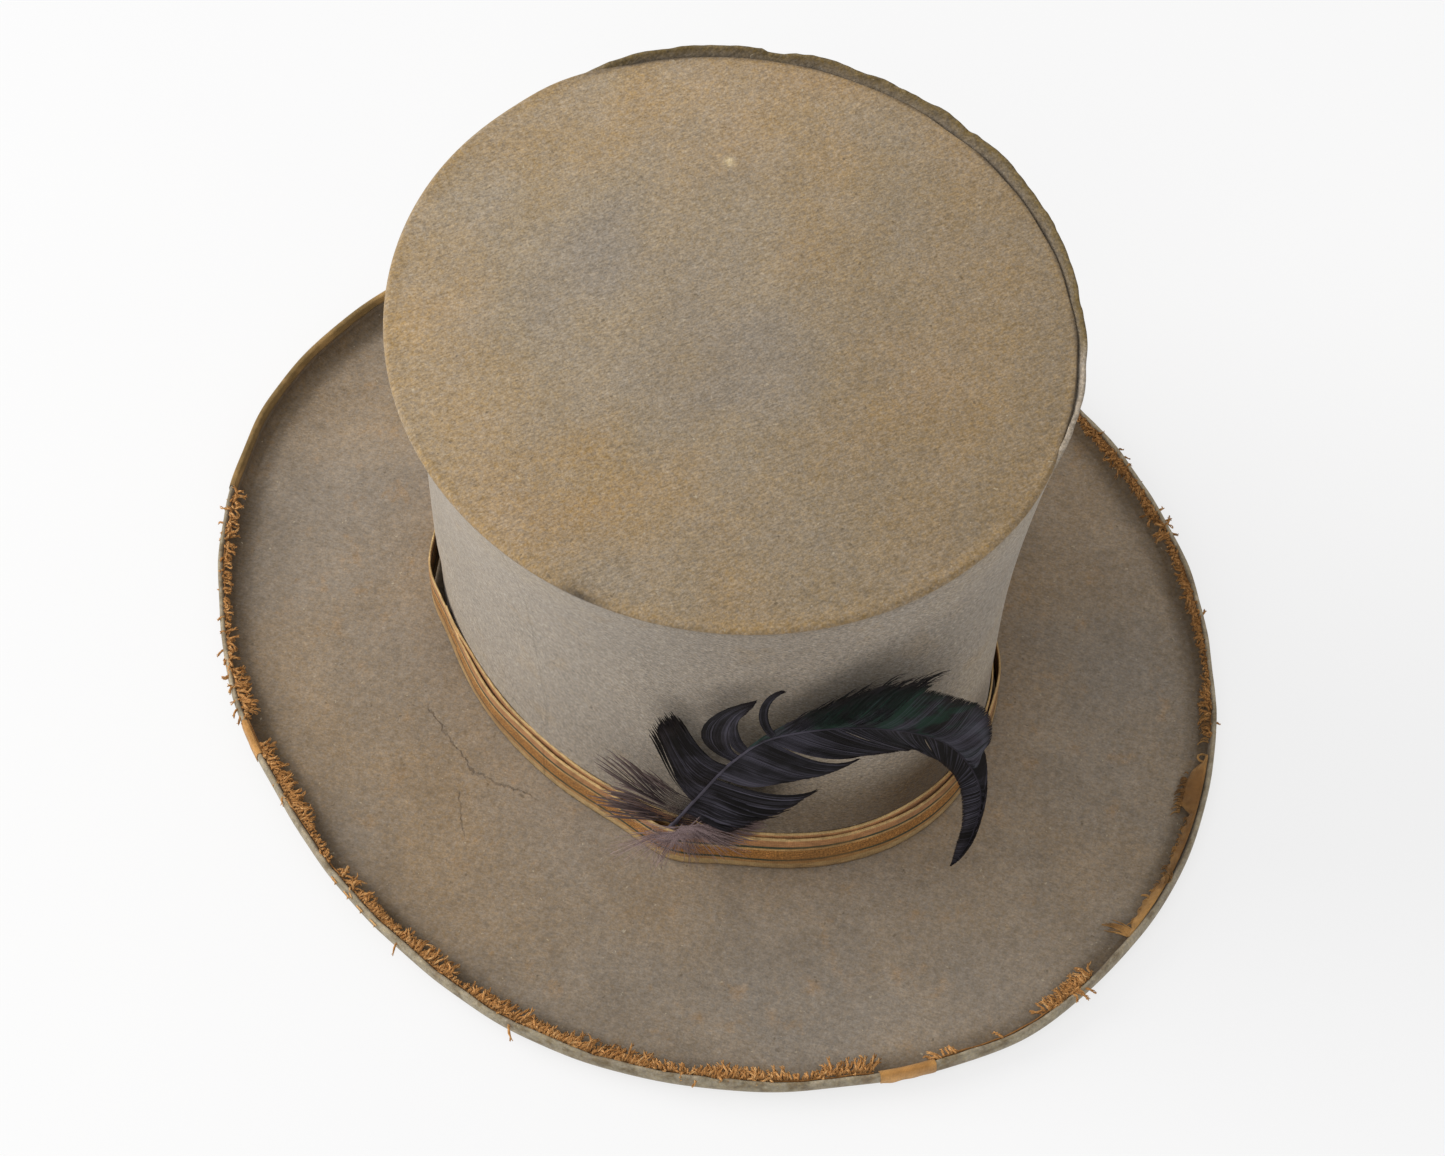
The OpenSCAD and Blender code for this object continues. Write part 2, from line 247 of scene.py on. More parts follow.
def capped_rings(rows):
    """Points and faces of a solid swept through rings, closed by a fan at each end."""
    count, around = rows.shape[:2]
    ends = np.array([rows[0].mean(0), rows[-1].mean(0)])
    j = np.arange(around)
    after = (j + 1) % around
    first = np.stack([np.full(around, count * around), after, j], -1)
    below = (count - 1) * around
    last = np.stack([np.full(around, count * around + 1), below + j, below + after], -1)
    return np.concatenate([rows.reshape(-1, 3), ends]), [grid_faces(count, around), first, last]


def ring_skin(rows, **values):
    """Points, faces and values of a closed skin through rings, the last joined to the first."""
    rows = np.asarray(rows)
    return rows, [grid_faces(*rows.shape[:2], close_rows=True)], values


def both_faces(shares, first=1):
    """Pairs of a face (1 or 0) and a share: along one face of a strip, then back along the other."""
    return [(first, v) for v in shares] + [(1 - first, v) for v in shares[::-1]]


def volume_sign(points, faces):
    """More than 0 if the faces are turned outward."""
    total = 0.0
    for part in faces:
        a = points[part[:, 0]]
        for k in range(1, part.shape[1] - 1):
            total += np.einsum("ij,ij->", a, np.cross(points[part[:, k]], points[part[:, k + 1]]))
    return total


def mesh_from(name, points, faces, smooth):
    """Mesh from points and a list of face arrays, with its faces turned outward."""
    points = np.asarray(points, float).reshape(-1, 3)
    if volume_sign(points, faces) < 0:
        faces = [part[:, ::-1] for part in faces]
    mesh = bpy.data.meshes.new(name)
    mesh.vertices.add(len(points))
    mesh.vertices.foreach_set("co", points.astype(np.float32).ravel())
    sizes = np.concatenate([np.full(len(part), part.shape[1]) for part in faces])
    loops = np.concatenate([part.ravel() for part in faces])
    mesh.loops.add(len(loops))
    mesh.loops.foreach_set("vertex_index", loops.astype(np.int32))
    mesh.polygons.add(len(sizes))
    starts = np.concatenate([[0], np.cumsum(sizes)[:-1]])
    mesh.polygons.foreach_set("loop_start", starts.astype(np.int32))
    mesh.polygons.foreach_set("use_smooth", np.full(len(sizes), smooth))
    mesh.update(calc_edges=True)
    mesh.validate()
    return mesh


def piece(name, node, made_of, look, body="hat", smooth=True):
    """A finished piece in place of a CAD node. made_of holds points, faces and values at the points."""
    points, faces, values = made_of
    mesh = mesh_from(name, points, faces, smooth)
    for key, value in values.items():
        value = np.asarray(value, np.float32).reshape(len(mesh.vertices), -1)
        kind, field = ("FLOAT_VECTOR", "vector") if value.shape[1] == 3 else ("FLOAT", "value")
        mesh.attributes.new(key, kind, "POINT").data.foreach_set(field, value.ravel())
    mesh.materials.append(look.material)
    made = bpy.data.objects.new(name, mesh)
    bpy.context.scene.collection.objects.link(made)
    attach(made, body)
    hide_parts(node)
    return made


def strands(lines, width, depth, facing):
    """Closed three-sided strands. lines is (count, points, 3); width and depth are half sizes."""
    count, points = lines.shape[:2]
    along = unit(np.gradient(lines, axis=1))
    across = unit(np.cross(facing, along))
    above = np.cross(along, across)
    width = np.broadcast_to(width, (count, points))[..., None]
    depth = np.broadcast_to(depth, (count, points))[..., None]
    low = lines - above * depth / 2
    ring = np.stack([low - across * width, low + across * width, lines + above * depth], 2)
    base = (np.arange(count) * points * 3)[:, None, None]
    step = (np.arange(points - 1) * 3)[None, :, None]
    k = np.arange(3)[None, None, :]
    after = (k + 1) % 3
    start = base + step
    sides = np.stack([start + k, start + after, start + 3 + after, start + 3 + k], -1)
    first = (np.arange(count) * points * 3)[:, None] + np.array([2, 1, 0])
    last = (np.arange(count) * points * 3 + (points - 1) * 3)[:, None] + np.array([0, 1, 2])
    return ring.reshape(-1, 3), [sides.reshape(-1, 4), first, last]


def strand_values(count, points, tone, groups=None):
    """Values that the strand materials read: a tone for each strand and how far along it is."""
    along = np.broadcast_to(np.linspace(0, 1, points)[None, :, None], (count, points, 3))
    values = {"tone": np.repeat(tone, points * 3), "along": along.reshape(-1)}
    if groups is not None:
        values["group"] = np.repeat(groups, points * 3)
    return values


def join(parts):
    """One set of points, faces and values from several."""
    points, faces, values, shift = [], [], {}, 0
    for part_points, part_faces, part_values in parts:
        part_points = np.asarray(part_points).reshape(-1, 3)
        points.append(part_points)
        faces += [face + shift for face in part_faces]
        for key, value in part_values.items():
            values.setdefault(key, []).append(np.asarray(value))
        shift += len(part_points)
    joined = {key: np.concatenate(value) for key, value in values.items()}
    return np.concatenate(points), faces, joined


# ---- Materials ----

def linear(colour):
    """Linear colour from three screen values of 0 to 255."""
    return tuple(((c / 255 + 0.055) / 1.055) ** 2.4 for c in colour) + (1.0,)


EVEN = (1.0, 1.0, 1.0)


class Look:
    """A material being built, with short ways to add its nodes."""

    def __init__(self, name, roughness, specular=0.3, sheen=0.0, sheen_tint=(1, 1, 1, 1)):
        self.material = bpy.data.materials.new(name)
        self.material.use_nodes = True
        self.tree = self.material.node_tree
        self.shader = self.tree.nodes["Principled BSDF"]
        self.shader.inputs["Roughness"].default_value = roughness
        self.shader.inputs["Specular IOR Level"].default_value = specular
        self.shader.inputs["Sheen Weight"].default_value = sheen
        self.shader.inputs["Sheen Roughness"].default_value = 0.4
        self.shader.inputs["Sheen Tint"].default_value = sheen_tint
        self.place = self.node("TexCoord").outputs["Object"]
        self.normal = None

    def node(self, kind, inputs=None, **settings):
        """A new node, its inputs linked or set."""
        made = self.tree.nodes.new("ShaderNode" + kind)
        for key, value in settings.items():
            setattr(made, key, value)
        for key, value in (inputs or {}).items():
            self.put(made.inputs[key], value)
        return made

    def put(self, socket, value):
        """Links or sets a socket. A colour is given by its three screen values."""
        if isinstance(value, bpy.types.NodeSocket):
            self.tree.links.new(value, socket)
        elif socket.type == "RGBA":
            socket.default_value = linear(value)
        else:
            socket.default_value = value

    def set(self, name, value):
        self.put(self.shader.inputs[name], value)

    def calc(self, operation, a, b=0.0, c=0.0):
        return self.node("Math", {0: a, 1: b, 2: c}, operation=operation).outputs[0]

    def times(self, a, b):
        return self.calc("MULTIPLY", a, b)

    def plus(self, a, b):
        return self.calc("ADD", a, b)

    def read(self, name):
        return self.node("Attribute", attribute_name=name).outputs["Fac"]

    def read_vector(self, name):
        return self.node("Attribute", attribute_name=name).outputs["Vector"]

    def noise(self, vector, scale, detail=2.0, roughness=0.55, distortion=0.0):
        inputs = {"Vector": vector, "Scale": scale, "Detail": detail,
                  "Roughness": roughness, "Distortion": distortion}
        return self.node("TexNoise", inputs).outputs["Fac"]

    def stretch(self, vector, scale, turn=(0.0, 0.0, 0.0)):
        inputs = {"Vector": vector, "Scale": scale, "Rotation": turn}
        return self.node("Mapping", inputs).outputs["Vector"]

    def span(self, value, low, high, to_low=0.0, to_high=1.0):
        """A value's smooth step from to_low to to_high between low and high."""
        inputs = {"Value": value, "From Min": low, "From Max": high, "To Min": to_low, "To Max": to_high}
        return self.node("MapRange", inputs, interpolation_type="SMOOTHSTEP").outputs["Result"]

    def ramp(self, factor, *stops):
        """Colours along a factor, from stops of a position and screen values."""
        made = self.node("ValToRGB", {"Fac": factor})
        elements = made.color_ramp.elements
        while len(elements) < len(stops):
            elements.new(0.5)
        for element, (position, colour) in zip(elements, stops):
            element.position = position
            element.color = linear(colour)
        return made.outputs["Color"]

    def mix(self, factor, a, b):
        return self.node("Mix", {0: factor, 6: a, 7: b}, data_type="RGBA").outputs[2]

    def shade(self, colour, value, amount, middle=0.5, part="Value"):
        """Lightens and darkens a colour by a value that is about middle."""
        low = 1 - amount * middle * 2
        high = 1 + amount * (1 - middle) * 2
        inputs = {"Value": value, "To Min": low, "To Max": high}
        level = self.node("MapRange", inputs).outputs["Result"]
        return self.node("HueSaturation", {part: level, "Color": colour}).outputs["Color"]

    def tint(self, colour, value, amount):
        """Greys and warms a colour by a value that is about a half."""
        return self.shade(colour, value, amount, part="Saturation")

    def stains(self, colour, **places):
        """Lays a colour over the base at each named value of the mesh."""
        for name, stain in places.items():
            colour = self.mix(self.read(name), colour, stain)
        return colour

    def bump(self, height, distance, strength=1.0):
        inputs = {"Height": height, "Distance": distance, "Strength": strength}
        if self.normal is not None:
            inputs["Normal"] = self.normal
        self.normal = self.node("Bump", inputs).outputs["Normal"]
        self.put(self.shader.inputs["Normal"], self.normal)


def felt_finish(look, colour, fibres, contrast=1.0, blotch=0.26):
    """Speckle, short fibres, dark specks and nap over a colour, as on worn wool felt."""
    grain = look.noise(look.place, 1350, 2.0, 0.65)
    mottle = look.noise(look.place, 430, 3.0, 0.6)
    turned = look.stretch(look.place, EVEN, (0.3, 0.8, 0.4))
    hairs = look.noise(fibres, 1.0, 2.0, 0.6, 0.5)
    colour = look.tint(colour, look.noise(turned, 800, 3.0, 0.65), 0.5)
    colour = look.shade(colour, grain, 0.52 * contrast)
    colour = look.shade(colour, mottle, blotch * contrast)
    colour = look.shade(colour, hairs, 0.52 * contrast)
    specks = look.span(look.noise(look.place, 380, 2.0), 0.70, 0.76)
    colour = look.mix(look.times(specks, 0.5), colour, (78, 68, 56))
    pale = look.span(look.noise(turned, 520, 2.0), 0.71, 0.76)
    colour = look.mix(look.times(pale, 0.4), colour, (196, 184, 160))
    look.set("Base Color", colour)
    look.bump(look.plus(grain, look.times(hairs, 0.9)), 0.25 * MM, 0.6)
    look.bump(look.noise(look.place, 60, 3.0), 0.5 * MM, 0.35)


def slanted(look, vector, turn):
    """Coordinates for fibres that lie at a slant on a surface measured in metres."""
    return look.stretch(look.stretch(vector, EVEN, (0.0, 0.0, turn)), (520.0, 1500.0, 300.0))


def tip_look():
    look = Look("felt_tip", 0.95, 0.12, 0.12, (1.0, 0.93, 0.84, 1.0))
    broad = look.noise(look.place, 14, 3.0, 0.55, 0.3)
    place = look.plus(look.read("warm"), look.calc("MULTIPLY_ADD", broad, 2.0, -1.0))
    colour = look.ramp(place, (0.05, (143, 132, 118)), (0.35, (151, 136, 115)),
                       (0.65, (157, 137, 110)), (0.95, (162, 138, 107)))
    colour = look.tint(colour, look.noise(look.place, 48, 3.0, 0.6), 0.24)
    colour = look.shade(colour, look.noise(look.place, 42, 4.0, 0.6, 0.4), 0.15)
    # The first stain darkens the tip toward +y; the dark stain is painted shade in the crease and along the
    # open seam.
    colour = look.stains(colour, dusty=(108, 92, 70), edge=(148, 125, 92), dark=(84, 74, 62),
                         pale=(205, 186, 150))
    felt_finish(look, colour, slanted(look, look.place, 0.4))
    return look


def side_look():
    look = Look("felt_side", 0.95, 0.12, 0.15, (1.0, 0.97, 0.93, 1.0))
    broad = look.noise(look.place, 16, 3.0, 0.5)
    colour = look.ramp(broad, (0.32, (152, 142, 129)), (0.5, (159, 148, 134)),
                       (0.68, (163, 150, 132)))
    stain = look.span(look.noise(look.place, 75, 4.0), 0.56, 0.72, 0.0, 0.3)
    colour = look.mix(stain, colour, (160, 140, 112))
    # The first of these stains darkens the wall low down and is painted shade under the feather; the dark
    # stain is painted shade in the crease and the open seam.
    colour = look.stains(colour, soil=(84, 66, 44), edge=(106, 91, 63), dark=(66, 56, 46))
    felt_finish(look, colour, slanted(look, look.read_vector("cloth"), 0.7), 1.3)
    return look


def brim_look():
    look = Look("felt_brim", 0.95, 0.12, 0.12, (1.0, 0.95, 0.88, 1.0))
    broad = look.noise(look.place, 13, 3.0, 0.55, 0.3)
    colour = look.ramp(broad, (0.32, (134, 124, 112)), (0.5, (140, 126, 109)),
                       (0.66, (145, 127, 105)))
    colour = look.shade(colour, look.noise(look.place, 34, 4.0, 0.6, 0.6), 0.26)
    colour = look.shade(colour, look.noise(look.place, 150, 3.0, 0.6), 0.15)
    warm = look.noise(look.place, 110, 4.0)
    colour = look.mix(look.span(warm, 0.57, 0.74, 0.0, 0.35), colour, (158, 126, 88))
    # Painted shade: inside the curled edge, at and beside the crown's foot, and over the outer brim about 5
    # degrees.
    colour = look.stains(colour, inside=(88, 74, 57))
    patchy = look.noise(look.place, 180, 3.0)
    worn = look.times(look.read("lip"), look.span(patchy, 0.3, 0.55, 0.55, 1.0))
    bare = look.ramp(look.noise(look.place, 150, 4.0, 0.65), (0.36, (118, 104, 80)),
                     (0.50, (150, 140, 118)), (0.66, (168, 156, 132)))
    colour = look.mix(worn, colour, bare)
    line = crease_lines(look)
    colour = look.mix(look.times(line, 0.6), colour, (82, 72, 62))
    felt_finish(look, colour, slanted(look, look.place, 1.1), 0.64, 0.5)
    look.bump(look.times(line, -1.0), 0.4 * MM, 0.5)
    return look


def crease_lines(look):
    """Fine wandering lines where the brim's three creases run."""
    side = look.node("SeparateXYZ", {0: look.read_vector("crease_side")})
    on = look.node("SeparateXYZ", {0: look.read_vector("crease_on")})
    bend = look.calc("SUBTRACT", look.noise(look.place, 95, 5.0, 0.65), 0.5)
    lines = 0.0
    for i in range(3):
        off = look.calc("ABSOLUTE", look.calc("MULTIPLY_ADD", bend, 9 * MM, side.outputs[i]))
        line = look.times(look.span(off, 0.05 * MM, 0.6 * MM, 1.0, 0.0), on.outputs[i])
        lines = look.calc("MAXIMUM", line, lines)
    faint = look.span(look.noise(look.place, 70, 2.0), 0.34, 0.56, 0.25, 1.0)
    return look.times(look.times(lines, faint), look.read("crack"))


def weave(look, along, across, along_pitch, across_pitch):
    """Height of a cloth's ribs, from coordinates and pitches in metres."""
    ribs = look.calc("SINE", look.times(along, TURN / along_pitch))
    picks = look.calc("SINE", look.times(across, TURN / across_pitch))
    return look.plus(look.times(ribs, 0.6), look.times(picks, 0.4))


def ribbon_finish(look, colour, metres, along_pitch=0.55 * MM, across_pitch=0.8 * MM):
    """Weave, wear and soiling over a ribbon's colour."""
    split = look.node("SeparateXYZ", {0: metres})
    threads = weave(look, split.outputs[0], split.outputs[1], along_pitch, across_pitch)
    wear = look.noise(look.place, 320, 4.0, 0.65)
    dirt = look.noise(look.place, 90, 3.0)
    colour = look.shade(colour, threads, 0.10, 0.0)
    colour = look.shade(colour, wear, 0.45)
    colour = look.shade(colour, dirt, 0.25)
    look.set("Base Color", colour)
    look.bump(threads, 0.10 * MM, 0.7)
    look.bump(wear, 0.25 * MM, 0.5)


def band_look():
    look = Look("band_ribbon", 0.8, 0.2, 0.1, (1.0, 0.9, 0.75, 1.0))
    across = look.read("across")
    wander = look.times(look.calc("SUBTRACT", look.noise(look.place, 60, 2.0), 0.5), 0.04)
    place = look.plus(across, wander)
    cream, tan, green = (186, 156, 108), (172, 130, 80), (54, 64, 48)
    ochre, pale, pink = (160, 110, 54), (188, 150, 96), (172, 124, 82)
    stripes = [(0.0, 0.19, cream), (0.21, 0.285, tan), (0.295, 0.345, green), (0.36, 0.635, ochre),
               (0.655, 0.70, pale), (0.71, 0.765, green), (0.78, 0.945, pink), (0.965, 1.0, cream)]
    stops = [(at, colour) for start, end, colour in stripes for at in (start, end)]
    colour = look.ramp(place, *stops)
    soil = look.span(look.noise(look.place, 35, 3.0), 0.45, 0.7, 0.0, 0.55)
    colour = look.mix(soil, colour, (138, 98, 52))
    metres = look.read_vector("metres")
    threads = look.noise(look.stretch(metres, (300.0, 3600.0, 300.0)), 1.0, 2.0, 0.6)
    colour = look.shade(colour, threads, 0.8)
    flecks = look.noise(look.stretch(metres, (1500.0, 1300.0, 300.0)), 1.0, 2.0, 0.7)
    middle = look.times(look.span(place, 0.35, 0.38), look.span(place, 0.63, 0.66, 1.0, 0.0))
    colour = look.mix(middle, colour, look.shade(colour, flecks, 1.3))
    colour = look.shade(colour, flecks, 0.35)
    ribbon_finish(look, colour, metres)
    return look


def plain_ribbon_look(name, light, dark):
    """Plain worn ribbon, mottled from light to dark."""
    look = Look(name, 0.7, 0.25, 0.2, (1.0, 0.85, 0.6, 1.0))
    colour = look.mix(look.span(look.noise(look.place, 70, 3.0), 0.38, 0.64), dark, light)
    ribbon_finish(look, colour, look.read_vector("metres"), 0.5 * MM, 0.7 * MM)
    return look


def thread_look(name, *colours):
    """Frayed threads: each has its own tone, darker at its root."""
    look = Look(name, 0.85, 0.2, 0.15, (1.0, 0.8, 0.5, 1.0))
    stops = [(i / (len(colours) - 1), c) for i, c in enumerate(colours)]
    colour = look.ramp(look.read("tone"), *stops)
    root = look.span(look.read("along"), 0.0, 0.4, 0.4, 0.0)
    colour = look.mix(root, colour, (92, 58, 28))
    twist = look.noise(look.place, 1500, 2.0)
    colour = look.shade(colour, twist, 0.7)
    look.set("Base Color", colour)
    look.bump(twist, 0.1 * MM, 0.6)
    return look


def feather_look(name, dark, light, green):
    """Black barbs with a soft grey sheen and green streaks, both painted into the colour."""
    look = Look(name, 0.5, 0.07, 0.02, (0.62, 0.66, 0.85, 1.0))
    streak = look.noise(look.place, 110, 3.0, 0.6)
    # The light colour is a painted grey sheen, taken by barbs of high tone and by the patches below.
    colour = look.ramp(look.read("tone"), (0.0, dark), (0.45, dark), (1.0, light))
    colour = look.shade(colour, streak, 0.9)
    painted_sheen = look.span(look.noise(look.place, 48, 3.0, 0.6), 0.46, 0.68, 0.0, 0.55)
    painted_sheen = look.times(painted_sheen, look.span(look.read("tone"), 0.1, 0.8, 0.25, 1.0))
    colour = look.mix(painted_sheen, colour, light)
    # Painted green sheen in streaks, on the groups given green.
    painted_green_sheen = look.times(look.read("group"), look.span(streak, 0.42, 0.62))
    colour = look.mix(painted_green_sheen, colour, green)
    tips = look.span(look.read("along"), 0.7, 1.0, 0.0, 0.7)
    colour = look.mix(tips, colour, (30, 23, 20))
    look.set("Base Color", colour)
    look.set("Roughness", look.span(streak, 0.3, 0.7, 0.42, 0.65))
    look.bump(look.noise(look.place, 1800, 2.0), 0.04 * MM, 0.4)
    return look


def down_look():
    look = Look("down", 0.9, 0.1, 0.05, (0.8, 0.8, 0.9, 1.0))
    colour = look.ramp(look.read("tone"), (0.0, (38, 29, 29)), (0.5, (100, 82, 82)),
                       (1.0, (186, 164, 164)))
    colour = look.mix(look.span(look.read("along"), 0.3, 1.0, 0.0, 0.5), colour, (150, 128, 122))
    look.set("Base Color", colour)
    look.bump(look.noise(look.place, 2000, 2.0), 0.05 * MM, 0.5)
    return look


def leather_look(name, light, dark):
    look = Look(name, 0.5, 0.4)
    broad = look.noise(look.place, 45, 4.0, 0.6)
    colour = look.ramp(broad, (0.32, dark), (0.5, light), (0.66, dark))
    cells = look.node("TexVoronoi", {"Vector": look.place, "Scale": 900.0},
                      feature="DISTANCE_TO_EDGE").outputs["Distance"]
    pores = look.span(cells, 0.0, 0.18)
    colour = look.shade(colour, pores, 0.18, 0.8)
    colour = look.stains(colour, dark=(44, 28, 18))
    look.set("Base Color", colour)
    look.set("Roughness", look.span(broad, 0.3, 0.7, 0.38, 0.65))
    look.bump(pores, 0.12 * MM, 0.5)
    look.bump(broad, 0.6 * MM, 0.3)
    return look


def cloth_look(name, light, dark, pitch=0.5 * MM):
    """Worn woven cloth, its weave laid out in space."""
    look = Look(name, 0.85, 0.2, 0.1)
    split = look.node("SeparateXYZ", {0: look.place})
    turned = look.plus(split.outputs[0], split.outputs[1])
    threads = weave(look, turned, split.outputs[2], pitch, pitch)
    soil = look.noise(look.place, 28, 4.0, 0.6)
    colour = look.mix(look.span(soil, 0.36, 0.66), light, dark)
    colour = look.shade(colour, threads, 0.08, 0.0)
    colour = look.shade(colour, look.noise(look.place, 700, 2.0), 0.15)
    look.set("Base Color", colour)
    look.bump(threads, 0.1 * MM, 0.6)
    look.bump(soil, 0.5 * MM, 0.3)
    return look


# ---- Crown ----

def side_edge(angle):
    """Height of the side felt's top edge: under the tip where sewn, standing above it where torn."""
    a = np.degrees(angle) % 360
    stands = np.interp(a, (105, 110, 127.5, 129, 150, 212, 214, 217, 218, 236, 244, 250),
                       (-2.15, 0.3, 0.6, 1.4, 2.5, 2.8, 1.4, 1.2, 2.3, 2.2, 0.8, -2.15))
    rags = ripples(angle, (0.16, 3, 18, 60), (0.10, 4, 80, 170))
    steps = bumps(angle, (0.5, 153, 0.8), (0.4, 163, 0.7), (0.6, 178, 0.9), (0.5, 193, 1.0))
    return TOP + (stands + open_at(angle) * (rags - steps)) * MM


def crown_swell(angle):
    """How far the crown's top stands outside its oval at the front."""
    return MM * bumps(angle, (1.2, 275, 28), (1.4, 251, 8))


def side_shift(angle, z):
    """How far the wall bulges out: gentle dents, and slow waves along the torn rim."""
    quiet = ease((z - 32 * MM) / (24 * MM)) * (1 - ease((z - 150 * MM) / (24 * MM)))
    dents = 0.55 * MM * ripple(11, angle, z, 2, 7) * quiet
    loose = open_at(angle) * ease((z - 168 * MM) / (16 * MM))
    waves = 1.5 + ripples(angle, (0.22, 12, 14, 34), (0.10, 13, 40, 90))
    loose = loose * waves * MM + 1.1 * MM * bump(angle, 166, 18) * loose
    return dents + loose + crown_swell(angle) * ease((z - 110 * MM) / (70 * MM))


INNER_ROWS = 53         # the side felt's rows from this one on are its inner face


def make_side_felt():
    """One closed skin: up the outer face, over the top edge, down the inner face."""
    angle = ring_angles()
    top = side_edge(angle)
    low = side_low[2]
    thin = FELT - 0.7 * MM * open_at(angle)         # thickness along the top edge
    round_top = 0.5 * MM
    rows, cloth = [], []

    def add(z, inset):
        rows.append(wall_point(angle, z, inset - side_shift(angle, z)))
        cloth.append(np.stack([angle * WALL_ROUND, z, inset + 0 * z], -1))

    for s in np.concatenate([np.linspace(0, 0.86, 34), np.linspace(0.875, 1.0, 14)]):
        add(low + s * (top - round_top - low), 0.0)
    for t in np.radians([30, 60, 90, 120, 150]):
        add(top - round_top + round_top * np.sin(t), thin / 2 * (1 - np.cos(t)))
    for s in np.linspace(1, 0, 24) ** 0.6:
        z = low + s * (top - round_top - low)
        add(z, mix(thin, FELT, ease((top - z) / (5 * MM))))
    skin = ring_skin(rows, cloth=cloth, **side_values(np.array(rows), angle, top))
    piece("side_felt", "crown_side_felt", skin, side_look())


def side_values(rows, angle, top):
    """Where the side is brown at its raw edge, has painted shade in its crease, its gap and under the
    feather, and is darker low down.
    """
    down = top - rows[..., 2]
    high = rows[..., 2] - SEAT
    a = np.degrees(angle) % 360
    stained = ease((a - 126) / 6) * ease((252 - a) / 8)
    edge = (1 - ease(down / (6 * MM))) * np.maximum(0.12, stained)
    # Painted shade: in the crease at 18 degrees, and on the inner face where the seam gapes open.
    crease = 0.75 * bump(angle, 18, 4) * (1 - ease(down / (1.6 * MM)))
    inner = (np.arange(len(rows)) >= INNER_ROWS)[:, None]
    gap = 0.85 * open_at(angle) * inner * ease((down - 0.7 * MM) / (1.0 * MM))
    # Darker toward the seat, most round 80 degrees; shaded is painted shade under the feather's arch, and the
    # last term is painted shade down the wall about 53 degrees.
    soil = 0.08 + 0.10 * (1 - ease((high - 25 * MM) / (45 * MM)))
    soil = soil * (0.5 + bump(angle, 80, 60))
    shaded = bumps(angle, (0.46, 62, 26), (0.66, 90, 16))
    soil = soil + shaded * (1 - ease((high - 36 * MM) / (34 * MM)))
    soil = soil + 0.10 * bump(angle, 53, 14) * ease((high - 30 * MM) / (30 * MM))
    return {"edge": edge, "dark": np.maximum(crease, gap), "soil": soil}


def make_tip_felt():
    angle = ring_angles()
    torn = open_at(angle, -9)
    wobble = 0.18 * MM * ripple(21, angle, low=10, high=30) * torn
    out = out_from(angle)
    rim = wall_point(angle, TOP, torn * 0.9 * MM - crown_swell(angle)) + out * wobble[:, None]
    centre = np.array([TIP_MID[0], TIP_MID[1], TOP])
    reach = np.linalg.norm(rim - centre, axis=1)
    corner = (1.9 - 1.1 * torn) * MM
    rows = []

    def add(inset, depth, k=1.0):
        """A ring: inset from the rim, depth 0 on top and 1 below, k its share of the radius."""
        inset = np.broadcast_to(inset, angle.shape)[:, None]
        p = centre + (rim - out * inset - centre) * k
        r = np.hypot(p[:, 0] - centre[0], p[:, 1] - centre[1])
        relief = flat_ripple(22, p[:, 0], p[:, 1], 70 * MM) * 0.55
        relief = relief + flat_ripple(23, p[:, 0], p[:, 1], 28 * MM) * 0.14
        inner = ease((95 * MM - r) / (25 * MM))
        droop = torn * 0.15 * MM * (1 - ease((reach - r) / (9 * MM)))
        hollow = (0.55 + 0.5 * relief) * inner * MM
        p[:, 2] = TOP - depth * FELT - (1 - depth) * (droop + hollow)
        rows.append(p)

    for k in np.concatenate([np.linspace(0.015, 0.93, 56), np.linspace(0.945, 1.0, 6)]):
        add(corner, 0.0, k)
    for t in np.radians([15, 30, 45, 60, 75, 90]):
        add(corner * (1 - math.sin(t)), 1 - math.cos(t))
    for inset in (0.8 * MM, 4 * MM):
        add(inset, 1.0)
    for k in (0.6, 0.2, 0.015):
        add(4 * MM, 1.0, k)
    points, faces = capped_rings(np.array(rows))
    made_of = points, faces, tip_values(points, centre)
    piece("tip_felt", "crown_tip_felt", made_of, tip_look())


def tip_values(points, centre):
    """Where the tip is warm in colour, brown at its rim, darker toward +y and painted with shade at its
    crease and open seam, and its one pale spot.
    """
    x, y = points[:, 0] - centre[0], points[:, 1] - centre[1]
    around = np.arctan2(y, x)
    r = np.hypot(x, y)
    from_rim = (1 - r / oval(TIP_HALF, around)) * 105 * MM
    zone = 1 - ease((from_rim - 0.5 * MM) / (6 * MM))
    edge = zone * (0.55 + 0.2 * ripple(24, around, low=5, high=25))
    # Painted shade: in the crease at 18 degrees and along the rim where the seam is open.
    crease = bump(around, 18, 4.0) * (1 - ease((from_rim - 0.4 * MM) / (1.8 * MM)))
    gap = 0.9 * open_at(around, -4) * (1 - ease((from_rim - 1.2 * MM) / (0.9 * MM)))
    seam_crease_shade = gap + 0.35 * bump(around, 17, 3.0) * np.exp(-((from_rim - 3 * MM) / (2.5 * MM)) ** 2)
    spot = np.exp(-((x + 45.5 * MM) ** 2 + (y + 43.9 * MM) ** 2) / (1.5 * MM) ** 2)
    from_grey = np.hypot(x - 17 * MM, y + 18 * MM)
    warm = 0.26 + 0.38 * ease((from_grey - 25 * MM) / (50 * MM))
    # Darker and browner toward +y.
    dusty = np.clip(0.24 + (0.27 * y - 0.05 * x) / (90 * MM), 0, 1)
    return {"edge": edge, "dark": np.clip(0.8 * crease + seam_crease_shade, 0, 1), "pale": 0.95 * spot,
            "warm": warm, "dusty": dusty}


# ---- Brim ----

